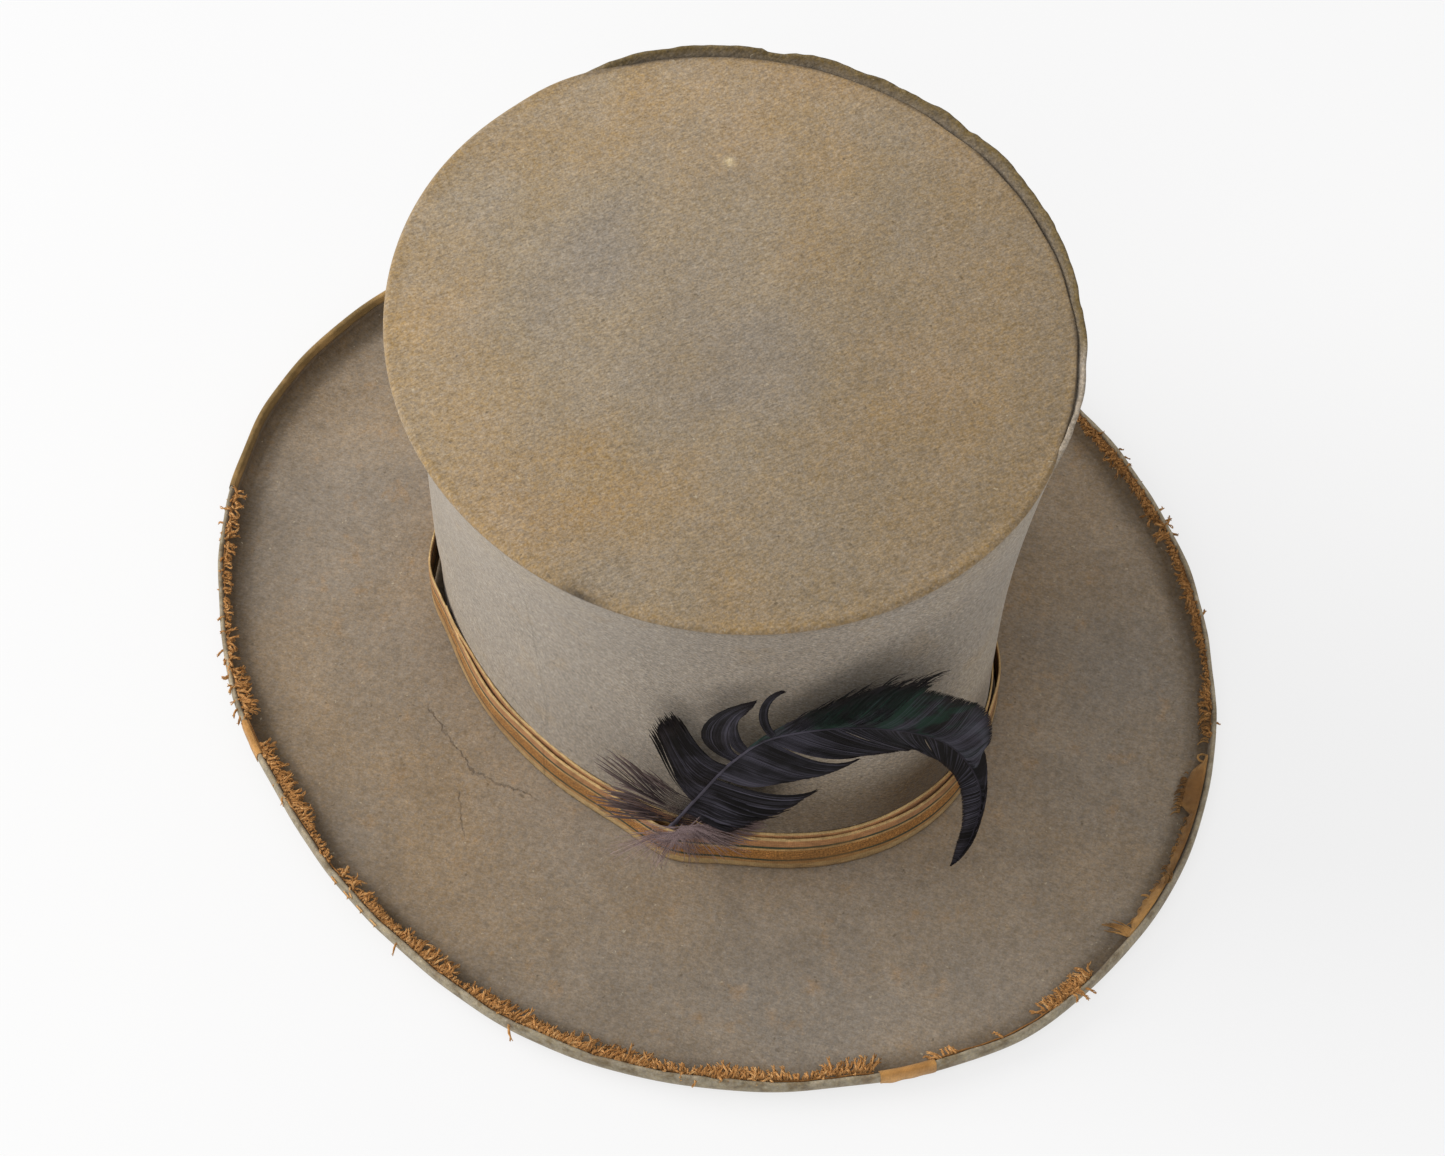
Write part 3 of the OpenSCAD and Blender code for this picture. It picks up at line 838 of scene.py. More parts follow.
def creases(points):
    """For each of three creases: how far points lie to its side, and whether they lie beside it."""
    side, on = [], []
    for start, end in (((86, -48), (93, -20)), ((93, -20), (86, 3)), ((102, -18), (111, -7))):
        start, end = np.array(start) * MM, np.array(end) * MM
        length = np.linalg.norm(end - start)
        way = (end - start) / length
        off = points[:, :2] - start
        along = off @ way
        side.append(off[:, 0] * way[1] - off[:, 1] * way[0])
        on.append(ease((along + 3 * MM) / (4 * MM)) * ease((length + 3 * MM - along) / (4 * MM)))
    return np.stack(side, -1), np.stack(on, -1)


def lip_nicks(angle):
    """Depth of the small cuts and dents along the top of the curled edge."""
    depth = bumps(angle, (1.3, -13, 0.7), (1.0, -10.5, 0.6), (0.9, 30, 0.8), (1.1, 44, 0.9),
                  (0.8, 88, 0.8), (0.6, 75, 1.0))
    return (depth + ripples(angle, (0.16, 31, 30, 120), (0.22, 32, 6, 20))) * MM


def lip_top(angle):
    """Height of the curled edge's top."""
    return LIP + lift_at(angle) - lip_nicks(angle)


def lip_sway(angle):
    """How far the curled edge leans in or out."""
    return MM * ripples(angle, (0.5, 33, 4, 12), (0.2, 34, 14, 40))


def brim_relief(angle, share):
    """Slow waves of the brim's surface between the crown and the curl."""
    wave = ripples(angle, (0.45, 35, 3, 9), (0.12, 36, 10, 26), height=share * 70 * MM)
    return wave * MM * ease(share / 0.3) * ease((1.0 - share) / 0.15)


def make_brim():
    """One closed skin: up the collar's back, out below, over the curled edge, in on top, up the collar."""
    angle = ring_angles()
    top = lip_top(angle)
    sway = lip_sway(angle)
    lift = lift_at(angle)
    outer = CURL + BRIM
    rows, inside, lip, crack = [], [], [], []

    def add(p, shade=0.0, pale=0.0, cracks=0.0):
        rows.append(p)
        inside.append(shade + 0 * angle)
        lip.append(pale + 0 * angle)
        crack.append(cracks + 0 * angle)

    def edge_row(z, inset, pale, shade=0.0):
        lean = sway * ease((z - lift) / (LIP - 1 * MM))
        add(edge_point(angle, z, inset + lean), shade, pale)

    # Painted shade beside the crown, about -32 and 58 degrees.
    near_crown = bumps(angle, (0.18, -32, 34), (0.16, 58, 22))
    collar_back = COLLAR_IN + 1.2 * MM
    add(wall_point(angle, SEAT + COLLAR, collar_back))
    add(wall_point(angle, SEAT - BRIM, collar_back))
    for s in np.linspace(0, 1, 26):
        add(brim_point(angle, s, np.maximum(brim_relief(angle, s), 0)))
    for t in np.radians([12, 30, 48, 66, 84]):
        edge_row(lift + outer - outer * np.cos(t), outer - outer * np.sin(t), np.sin(t) * 0.7)
    shoulder = top - 0.6 * MM
    back, front = 0.3 * MM, BRIM - 0.6 * MM
    for s in (0.0, 0.5, 1.0):
        edge_row(mix(lift + outer, top - 2.4 * MM, s), 0.0, 0.8)
    edge_row(top - 1.4 * MM, 0.1 * MM, 0.9)
    for t in np.radians([5, 40, 75, 105, 140, 175]):
        edge_row(shoulder + 0.6 * MM * np.sin(t), mix(back, front, (1 - np.cos(t)) / 2), 0.75)
    # From here the curled edge's inner face takes painted shade.
    edge_row(top - 1.4 * MM, BRIM - 0.25 * MM, 0.35, 0.25)
    for s in (0.0, 0.5, 1.0):
        edge_row(mix(top - 2.4 * MM, lift + outer, s), BRIM, 0.1, 0.5)
    for t in np.radians([75, 55, 35, 15]):
        edge_row(lift + outer - CURL * np.cos(t), outer - CURL * np.sin(t), 0.0, 0.75)
    # Painted shade on the brim's top: inside the curled edge, unevenly; at the crown's foot; over the outer
    # brim about 5 degrees; and beside the crown.
    spread = 0.75 + 0.25 * ripple(37, angle, low=8, high=30)
    for s in np.linspace(1, 0, 72):
        shade = 0.66 * spread * (1 - ease((1 - s) / 0.085)) + 0.22 * (1 - ease(s / 0.05))
        shade = shade + 0.20 * bump(angle, 5, 52) * ease(s / 0.4) + near_crown * (1 - ease(s / 0.75))
        add(brim_point(angle, s, BRIM + brim_relief(angle, s)), shade, 0.0, 1.0)
    add(wall_point(angle, SEAT, COLLAR_IN))
    add(wall_point(angle, SEAT + COLLAR, COLLAR_IN))
    side, on = creases(np.reshape(rows, (-1, 3)))
    skin = ring_skin(rows, inside=np.clip(inside, 0, 1), lip=np.clip(lip, 0, 1),
                     crack=np.clip(crack, 0, 1), crease_side=side, crease_on=on)
    piece("brim_body", "brim_felt", skin, brim_look())


# ---- Ribbon strips ----

def ribbon_values(across, along):
    """What ribbon materials read: the share across, and the place in metres along and across."""
    across, along = np.broadcast_arrays(across, along)
    metres = np.stack([along, across * ACROSS, 0 * along], -1)
    return {"across": across.ravel(), "metres": metres.reshape(-1, 3)}


def strip_mesh(rows, across, along):
    """Closed strip lofted through the rows of a section, with its values."""
    n, m = rows.shape[:2]
    faces = [grid_faces(m, n), end_faces(m, n)]
    values = ribbon_values(across[None, :], along[:, None])
    return rows.transpose(1, 0, 2).reshape(-1, 3), faces, values


BAND_H = outer_high[2] - outer_low[2]


def band_ring(angle, inset, low, wave_seed, thickness, bulge):
    """Section points of a ribbon turn at each angle: up its outer face, then down its inner face."""
    rows, across = [], []
    wave = 0.22 * ripple(wave_seed, angle, low=5, high=18) * MM
    rise = 0.3 * ripple(wave_seed + 1, angle, low=3, high=9) * MM
    for side, v in both_faces(np.linspace(0, 1, 15)):
        swell = np.sin(v * math.pi) * 0.25 * MM * ripple(wave_seed + 2, angle, v * ACROSS, 4, 14)
        thin_edge = 0.18 * MM * (1 - ease(min(v, 1 - v) / 0.06))
        off = inset - bulge - wave * v - swell - side * (thickness - thin_edge)
        rows.append(beside_wall(angle, SEAT, off, low + v * BAND_H + rise * v))
        across.append(v)
    return np.array(rows), np.array(across)


def make_band():
    look = band_look()
    angle = ring_angles(BAND_RING)
    slack = bumps(angle, (4.0, 34, 9), (2.6, -53, 7), (1.8, 117, 7), (0.45, -14, 30), (0.45, 85, 20))
    rows, across = band_ring(angle, -1.0 * MM, outer_low[2], 41, 0.7 * MM, slack * MM)
    skin = ring_skin(rows, **ribbon_values(across[:, None], angle[None, :] * BAND_ROUND))
    outer = piece("band_outer", "band_outer_turn", skin, look)

    angle = np.radians(np.linspace(-43, 285, 500))
    loose = 1.3 * MM * (1 - ease((np.degrees(angle) + 43) / 14))
    rows, across = band_ring(angle, -0.15 * MM, inner_low[2], 45, 0.6 * MM, loose)
    strip = strip_mesh(rows, across, angle * BAND_ROUND)
    inner = piece("band_inner", "band_inner_turn", strip, look)


def folded_section(angle, reach_out, reach_in, wave, thin=0.25 * MM):
    """Section of ribbon folded over the curled edge, outer leg first."""
    top = LIP + lift_at(angle)
    sway = lip_sway(angle)
    front = BRIM - 0.5 * MM
    outline = [(-0.1 * MM, -reach_out), (-0.16 * MM, -reach_out / 2), (-0.1 * MM, -1.6 * MM),
               (0.1 * MM, -0.7 * MM)]
    outline += [(mix(0.2 * MM, front, (1 - math.cos(t)) / 2), 0.3 * MM * math.sin(t))
                for t in np.radians([25, 60, 90, 120, 155])]
    outline += [(front + 0.05 * MM, -0.7 * MM), (BRIM - 0.1 * MM, -reach_in * 0.7),
                (BRIM + 0.1 * MM, -reach_in)]
    normals = [(-1, 0), (-1, 0), (-1, 0.1), (-0.9, 0.4), (-0.7, 0.7), (-0.4, 0.9), (0, 1), (0.4, 0.9),
               (0.7, 0.7), (0.9, 0.4), (1, 0.1), (1, 0)]
    rows, across = [], []
    for grow, i in both_faces(range(len(outline))):
        inset, drop = outline[i]
        nx, nz = normals[i]
        inset = inset + sway + grow * nx * thin + wave * (1 if i < 3 else 0.3)
        rows.append(edge_point(angle, top + drop + grow * nz * thin, inset))
        across.append(i / (len(outline) - 1))
    return np.array(rows), np.array(across)


def make_folded_binding(ribbon):
    """The whole stretch of ribbon, folded over the curled edge."""
    angle = np.radians(np.linspace(205, 294.5, 300))
    wave = 0.12 * MM * ripple(51, angle, low=20, high=60)
    ragged = 0.3 * MM * ripple(52, angle, low=30, high=120)
    rows, across = folded_section(angle, 6.3 * MM + ragged, 2.1 * MM + ragged * 0.6, wave)
    strip = strip_mesh(rows, across, angle * EDGE_ROUND)
    made = piece("binding_folded", "binding_front", strip, ribbon)


def yarns(rng, angle, inset, high, size, lean, rise, spread):
    """Short curled yarns, one from each place, each of three plies twisted together."""
    count, steps = len(angle), 8
    t = np.linspace(0, 1, steps)
    root = edge_point(angle, high, inset)
    toward = np.where(rng.uniform(0, 1, (count, 1)) < spread, rng.uniform(-1, 1, (count, 1)), 1.0)
    way = round_by(angle) * (lean + rng.normal(0, 0.42 + spread * 0.6, (count, 1))) - out_from(angle) * toward
    way = unit(way + UP * (rise + rng.normal(0, 0.15, (count, 1))))
    side = unit(np.cross(way, UP))
    bend = rng.uniform(-0.9, 0.9, count)[:, None] * np.sin(t * 4.4 + rng.uniform(0, TURN, (count, 1)))
    middle = root[:, None] + way[:, None] * (t[None, :] * size[:, None])[..., None]
    middle = middle + side[:, None] * (bend * 0.30 * size[:, None] * t)[..., None]
    middle = middle - UP * ((t ** 2)[None, :] * size[:, None] * rng.uniform(0.1, 0.6, (count, 1)))[..., None]
    plies = []
    for k in range(3):
        turn = t[None, :] * rng.uniform(7, 10, (count, 1)) + k * TURN / 3
        off = side[:, None] * np.cos(turn)[..., None] + UP * np.sin(turn)[..., None]
        loosen = 0.24 * MM * (1 + 1.2 * ease((t - 0.7) / 0.3))
        plies.append(middle + off * loosen[None, :, None])
    return np.concatenate(plies)


def thread_mesh(rng, lines, radius):
    """Threads along lines, tapered to their ends, each with its own size and tone."""
    count, steps = lines.shape[:2]
    taper = 1 - 0.5 * np.linspace(0, 1, steps) ** 3
    size = rng.uniform(0.8, 1.15, (count, 1)) * radius * taper[None, :]
    facing = np.broadcast_to(UP, lines.shape)
    points, faces = strands(lines, size, size * 1.1, facing)
    tone = np.clip(rng.normal(0.5, 0.25, count), 0, 1)
    return points, faces, strand_values(count, steps, tone)


def frayed_row(rng, start, end, spacing, low_size, high_size, lean, spread, seed):
    """A row of yarns along the top of the edge's inner face, long and short in places."""
    length = math.radians(end - start) * EDGE_ROUND
    number = int(length / (spacing * MM))
    angle = np.radians(np.linspace(start, end, number) + rng.normal(0, 0.15, number))
    heavy = ease(0.55 + 0.7 * ripple(seed, angle, low=8, high=34))
    keep = heavy > 0.06
    angle, heavy = angle[keep], heavy[keep]
    high = lip_top(angle) - rng.uniform(0.3, 1.5, len(angle)) * MM
    size = mix(low_size, high_size, heavy) * rng.uniform(0.75, 1.15, len(angle)) * MM
    inset = BRIM + 0.1 * MM + rng.uniform(-0.4, 0.4, len(angle)) * MM
    lines = yarns(rng, angle, inset, high, size, lean, 0.25, spread)
    return thread_mesh(rng, lines, YARN)


def torn_backing(start, end, seed):
    """What is left of the ribbon along the inner face of the edge, with a ragged top."""
    angle = np.radians(np.linspace(start, end, int((end - start) * 3)))
    top = lip_top(angle)
    high = top - (0.9 - 0.3 * ripple(seed, angle, low=25, high=120)) * MM
    low = top - (2.6 + 0.5 * ripple(seed + 1, angle, low=20, high=90)) * MM
    inset = BRIM - 0.1 * MM + lip_sway(angle)
    rows, across = [], []
    for side, v in both_faces((0.0, 0.5, 1.0), first=0):
        rows.append(edge_point(angle, mix(low, high, v), inset + side * 0.4 * MM))
        across.append(v)
    return strip_mesh(np.array(rows), np.array(across), angle * EDGE_ROUND)


def make_frayed(name, node, row_specs, backing_span, seed, threads):
    """A frayed stretch of the binding: rows of yarns over what is left of the ribbon."""
    rng = np.random.default_rng(seed)
    parts = [frayed_row(rng, *spec, seed=seed + 10 + i) for i, spec in enumerate(row_specs)]
    points, faces, _ = torn_backing(*backing_span, seed + 50)
    dark = np.full(len(points), 0.1)
    parts.append((points, faces, {"tone": dark, "along": dark}))
    piece(name, node, join(parts), threads)


LOOSE_SLOPE = math.radians(42)


def loose_place(degrees, share, width):
    """A point on the loose end: share 0 at the edge's inner face, 1 at its free side, lower as it goes in."""
    angle = np.radians(degrees)
    run = share * width * math.cos(LOOSE_SLOPE)
    fall = share * width * math.sin(LOOSE_SLOPE)
    return edge_point(angle, LIP + lift_at(angle) - 0.7 * MM - fall, BRIM - 0.1 * MM + run)


# Groups of threads on the loose end: how many, from and to which angle in degrees, the share and
# width of the strip where they start, how far in they reach, their mean and spread sideways, their
# drop and their curl, in mm. They are a flat fan at its foot, a curl, a knot and three fringes.
LOOSE_GROUPS = [
    (22, (93.0, 94.0), 0.2, 3.0, (7.0, 10.0), (-0.8, 0.8), 3.6, 0.2),
    (4, (97.7, 97.9), 0.9, 3.0, (3.6,), (1.6, 0.3), 1.0, 1.4),
    (14, (100.5, 101.5), 0.0, 2.0, (-1.5, 2.0), (0.0, 1.4), -0.6, 0.6),
    (40, (109.8, 115.0), 0.9, 8.2, (0.8, 3.2), (-0.4, 0.8), 0.9, 0.5),
    (60, (94.5, 109.0), 0.8, 3.6, (0.4, 2.0), (0.4, 1.2), 0.2, 0.6),
    (20, (118.5, 123.5), 0.2, 2.0, (1.0, 3.6), (-1.0, 1.0), 0.6, 0.7),
]


def loose_thread(degrees, share, width, reach, along, drop, curl):
    """A bowed thread from a place on the loose end."""
    t = np.linspace(0, 1, 9)
    a = np.radians(degrees)
    way = round_by(a) * along - out_from(a) * reach - UP * drop
    side = unit(np.cross(way, UP))
    bow = np.sin(t * math.pi)[:, None]
    return loose_place(degrees, share, width * MM) + (way * t[:, None] + bow * (curl * side + 0.4 * UP)) * MM


def loose_threads(rng):
    """Threads that stand off the loose end, and a small loop."""
    lines = []
    for count, span, share, width, reach, along, drop, curl in LOOSE_GROUPS:
        for _ in range(count):
            degrees = rng.uniform(*span)
            length = rng.uniform(*reach) if len(reach) == 2 else reach[0]
            lines.append(loose_thread(degrees, share, width, length, rng.normal(*along), drop, curl))
    turn = np.linspace(0, TURN, 9)
    centre = loose_place(116.8, 0.7, 3 * MM)
    ring = np.stack([np.cos(turn), np.sin(turn), 0.35 * np.sin(turn + 1)], -1)
    lines += [centre + ring * size * MM for size in (1.5, 1.62, 1.74, 1.86, 1.98)]
    return np.array(lines)


def make_loose_end(ribbon):
    """The torn length of ribbon that has come away from the edge and hangs inward over the curl."""
    degrees = np.linspace(93, 117, 200)
    angle = np.radians(degrees)
    width = np.interp(degrees, (93, 94.5, 97, 99.5, 101.5, 105, 108.5, 109.5, 111, 113.5, 115, 116, 117),
                      (1.2, 3.4, 5.2, 4.6, 2.8, 4.0, 3.4, 2.6, 8.2, 8.8, 6.4, 3.0, 1.2)) * MM
    ragged = 0.6 * MM * ripple(61, angle, low=60, high=300)
    wave = 0.35 * MM * ripple(62, angle, low=20, high=60)
    rows, across = [], []
    for side, v in both_faces(np.linspace(0, 1, 7)):
        lift = (side * 0.35 - 0.1) * MM + wave * v + 0.5 * MM * math.sin(v * math.pi)
        rows.append(loose_place(degrees, v, width + ragged * v) + UP * lift[:, None])
        across.append(v)
    strip = strip_mesh(np.array(rows), np.array(across), angle * EDGE_ROUND)
    rng = np.random.default_rng(63)
    points, faces, _ = thread_mesh(rng, loose_threads(rng), LOOSE_YARN)
    plain = {"across": np.full(len(points), 0.5), "metres": points * 4}
    piece("binding_end", "binding_loose_end", join([strip, (points, faces, plain)]), ribbon)


def make_patch(name, node, start, end, seed, ribbon):
    """A piece of ribbon that is left folded over the edge."""
    angle = np.radians(np.linspace(start, end, 60))
    ragged = 0.25 * MM * ripple(seed, angle, low=60, high=200)
    rows, across = folded_section(angle, 5.2 * MM + ragged, 0.9 * MM, 0 * angle, 0.22 * MM)
    piece(name, node, strip_mesh(rows, across, angle * EDGE_ROUND), ribbon)


def make_stitches(threads):
    """Short stitches left standing on the outer face, each with a bar across its top."""
    lines = []
    for degrees in (-9, -6.5, -4, -1.5):
        a = math.radians(degrees)
        top = float(LIP + lift_at(np.array(a)))
        rise = np.linspace(top - 4.8 * MM, top - 1.2 * MM, 8)
        lines.append(edge_point(a + np.linspace(0, 0.004, 8), rise, -0.3 * MM))
        bar = a + np.linspace(-0.009, 0.011, 8)
        lines.append(edge_point(bar, top - 1.1 * MM + 0 * bar, -0.32 * MM))
    lines = np.array(lines)
    out = unit(lines * np.array([1, 1, 0]))
    points, faces = strands(lines, 0.22 * MM, 0.28 * MM, out)
    values = strand_values(len(lines), 8, np.linspace(0.5, 0.95, len(lines)))
    values["along"] = np.full_like(values["along"], 0.9)
    piece("stitches", "edge_stitches", (points, faces, values), threads)


def make_binding():
    ribbon = plain_ribbon_look("binding_ribbon", (168, 134, 84), (122, 98, 58))
    loose = plain_ribbon_look("loose_ribbon", (184, 138, 80), (128, 90, 48))
    patch = plain_ribbon_look("patch_ribbon", (200, 148, 84), (172, 124, 68))
    threads = thread_look("frayed_thread", (140, 98, 54), (176, 126, 72),
                          (198, 146, 88), (216, 172, 116))
    darker = thread_look("frayed_darker", (108, 74, 40), (144, 102, 56),
                         (170, 122, 70), (194, 148, 94))
    make_folded_binding(ribbon)
    left = [(-65, -55, 0.5, 2.8, 4.8, 0.0, 0.7), (-56, -43, 0.7, 1.2, 2.8, 0.2, 0.3),
            (-41, -34.5, 0.5, 3.2, 5.4, 0.2, 0.35), (-46, -32, 1.1, 2.2, 4.0, 0.2, 0.3),
            (-30, 10, 0.6, 2.8, 5.4, 0.35, 0.05), (-30, 61, 0.7, 1.4, 2.4, 0.1, 0.2),
            (6, 61, 0.6, 3.2, 6.0, 0.75, 0.04), (14, 61, 0.9, 2.4, 4.8, 0.0, 0.12)]
    make_frayed("fringe_left", "binding_frayed_left", left, (-65, 61), 71, threads)
    back = [(67.5, 70.5, 0.7, 3.2, 5.6, -0.1, 0.1), (75, 79.5, 0.7, 3.2, 5.6, 0.1, 0.25),
            (80.5, 87, 0.4, 3.6, 5.8, -0.15, 0.15), (81, 86.5, 0.5, 2.8, 5.0, 0.6, 0.2)]
    make_frayed("fringe_back", "binding_frayed_back", back, (66, 87), 72, threads)
    right = [(124, 203, 0.6, 2.0, 4.2, 1.6, 0.12), (124, 203, 0.7, 1.8, 3.4, -1.4, 0.12),
             (124, 203, 0.8, 1.2, 2.2, 0.0, 0.2), (146, 160, 0.7, 2.6, 5.0, 0.0, 0.5),
             (118, 127, 0.7, 2.4, 4.4, -0.2, 0.2)]
    make_frayed("fringe_right", "binding_frayed_right", right, (120, 203), 73, darker)
    make_loose_end(loose)
    make_patch("patch_left", "binding_patch_left", -33.5, -28.5, 81, patch)
    make_patch("patch_back", "binding_patch_back", 61.5, 67.5, 82, patch)
    make_stitches(threads)


# ---- Inside ----

def make_sweatband():
    look = leather_look("sweatband_leather", (150, 104, 66), (104, 68, 42))
    angle = ring_angles(LEATHER_RING)
    low, high = leather_low[2], leather_high[2]
    wave = 0.4 * MM * ripple(91, angle, low=8, high=22)
    sway = 0.35 * MM * ripple(92, angle, low=3, high=9)
    rows, across = [], []
    for face, v in both_faces(np.linspace(0, 1, 16)):
        face_in = LEATHER_IN + face * LEATHER
        off = np.maximum(face_in - wave * ease(v / 0.5) + 0.4 * MM * ease(v), face_in - 0.2 * MM)
        rows.append(beside_wall(angle, low, off, mix(low, high, v) + v * sway))
        across.append(v)
    v = np.repeat(across, LEATHER_RING)
    dark = np.exp(-((v - 0.05) / 0.04) ** 2) * 0.8 + np.exp(-((v - 1.0) / 0.05) ** 2) * 0.5
    piece("sweatband_leather", "sweatband", ring_skin(rows, dark=dark), look)


def make_reed():
    look = leather_look("reed_leather", (130, 88, 54), (92, 60, 38))
    angle = ring_angles(LEATHER_RING)
    middle = (reed_low[2] + reed_high[2]) / 2
    radius = (reed_high[2] - reed_low[2]) / 2
    size = radius * (0.93 + 0.05 * np.sin(angle * 160))
    sides = 12
    rows = [beside_wall(angle, SEAT, LEATHER_IN + radius - size * np.cos(t), middle + size * np.sin(t))
            for t in np.arange(sides) * TURN / sides]
    skin = ring_skin(rows, dark=np.zeros(sides * LEATHER_RING))
    piece("reed_roll", "sweatband_reed", skin, look)


def make_lining():
    look = cloth_look("lining_cloth", (206, 194, 168), (176, 158, 126))
    angle = ring_angles(LINING_RING)
    low, high = lining_low[2], lining_high[2]
    folds = np.sin(angle * 74 + 2.0 * ripple(95, angle, low=3, high=12))
    rows = []
    for face, v in both_faces(np.linspace(0, 1, 30), first=0):
        z = mix(low, high, v) + 0 * angle
        pleat = 0.45 * MM * (1 + folds) * (0.15 + 0.85 * ease((v - 0.4) / 0.6))
        slack = 0.5 * MM * (1 + ripple(96, angle, z, 3, 8)) * math.sin(v * math.pi)
        rows.append(wall_point(angle, z, 3.25 * MM + face * 0.4 * MM + pleat + np.maximum(slack, 0)))
    made = piece("lining_wall", "lining_side", ring_skin(rows), look)
    make_tip_lining(look, angle)


def make_tip_lining(look, angle):
    """The oval of lining under the tip, stretched to its rim and sagging a little in the middle."""
    middle = np.array([TIP_MID[0], TIP_MID[1], lining_top])
    rim = wall_point(angle, lining_top, 3.7 * MM)
    rows = []
    for k in np.linspace(0.02, 1.0, 24):
        p = mix(middle, rim, k)
        relief = 1 + flat_ripple(97, p[:, 0], p[:, 1], 60 * MM)
        p[:, 2] = lining_top + 0.05 * MM - 0.35 * MM * relief * (1 - k ** 4)
        rows.append(p)
    lower = np.array(rows)
    points, faces = capped_rings(np.concatenate([lower, lower[::-1] + UP * 0.4 * MM]))
    made = piece("lining_crown", "lining_tip", (points, faces, {}), look)


def dress_shells():
    """The stiff shells stay as CAD solids, with a coarse woven finish."""
    look = cloth_look("shell_weave", (196, 170, 120), (162, 132, 84), 1.2 * MM)
    for name in ("crown_side_shell", "crown_tip_shell"):
        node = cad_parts[name]
        node.data.materials.clear()
        node.data.materials.append(look.material)


# ---- Feather ----
# Its own axes are along (backward beside the crown), up and out, in millimetres from the band.

ALONG = np.array([-math.sqrt(0.5), math.sqrt(0.5), 0.0])
OUT = np.array([math.sqrt(0.5), math.sqrt(0.5), 0.0])
QUILL_AT = np.array([69.6, 49.3, 30.0]) * MM
LEAN = unit(np.array([12.1, 41.3, 6.3]))
KNOTS = np.array([-20 * LEAN, [0, 0, 0], 25 * LEAN, [19, 62, 10], [32, 86, 15], [58, 94, 17],
                  [84, 68, 9], [97, 32, 6], [96, 4, 9], [89, -9, 14]])
SPANS = len(KNOTS) - 1
AWAY = np.array([0.0, 0.0, 1.0])            # outward, in the feather's own axes
BARBS_FACE = OUT * 0.86 + UP * 0.5          # the way the flat barbs face


def in_place(p):
    """Points in the feather's own axes put into the hat."""
    p = np.asarray(p) * MM
    return QUILL_AT + p[..., :1] * ALONG + p[..., 1:2] * UP + p[..., 2:] * OUT


def spline(points, t):
    """Places on a smooth line through points; t counts them."""
    last = len(points) - 1
    i = np.minimum(last - 1, np.floor(t)).astype(int)
    f = (t - i)[..., None]
    p, q, r, s = (points[np.clip(i + k, 0, last)] for k in (-1, 0, 1, 2))
    return 0.5 * (2 * q + (r - p) * f + (2 * p - 5 * q + 4 * r - s) * f ** 2
                  + (3 * q - p - 3 * r + s) * f ** 3)


def line_at(u):
    """Points on the quill's middle line; u counts knots."""
    return spline(KNOTS, np.asarray(u, float))


def line_dir(u):
    """Direction of the quill's middle line."""
    u = np.asarray(u, float)
    return unit(line_at(np.minimum(SPANS, u + 0.02)) - line_at(np.maximum(0, u - 0.02)))


def line_side(u):
    """Direction across the feather, to the outside of its arch."""
    return unit(np.cross(AWAY, line_dir(u)))


def quill_radius(u):
    """Radius in mm where barbs start."""
    u = np.asarray(u, float)
    return 1.1 * np.where(u < 2, 1, mix(1, 0.2, (u - 2) / (SPANS - 2)))


def make_quill():
    look = feather_look("quill", (38, 35, 42), (92, 88, 100), (60, 70, 66))
    u = np.linspace(0, SPANS - 0.1, 150)
    sides = 12
    centre = line_at(u)
    side = line_side(u)
    face = np.cross(line_dir(u), side)
    radius = (quill_radius(u) * mix(0.85, 0.5, ease((u - 0.8) / 0.8)))[:, None]
    rows = []
    for t in np.arange(sides) * TURN / sides:
        groove = 1 - 0.25 * math.exp(-((t - TURN / 4) / 0.5) ** 2)
        rows.append(centre + radius * groove * (math.cos(t) * side + math.sin(t) * face))
    rows = np.array(rows).transpose(1, 0, 2)
    faces = [grid_faces(len(u), sides), end_faces(len(u), sides)]
    count = len(u) * sides
    # Lighter toward the foot: more of the painted sheen colour.
    tone = np.repeat(mix(0.95, 0.45, np.clip(u / 5, 0, 1)), sides)
    values = {"tone": tone, "along": np.full(count, 0.2), "group": np.zeros(count)}
    piece("quill_shaft", "feather_quill", (in_place(rows), faces, values), look, "feather")


def blend(pair, t):
    """A value for each barb, from one value or from a first and a last."""
    pair = np.asarray(pair, float)
    if pair.ndim == 0 or pair.shape == (3,):
        return np.broadcast_to(pair, np.shape(t) + pair.shape)
    t = np.reshape(t, np.shape(t) + (1,) * (pair.ndim - 1))
    return mix(pair[0], pair[1], t)


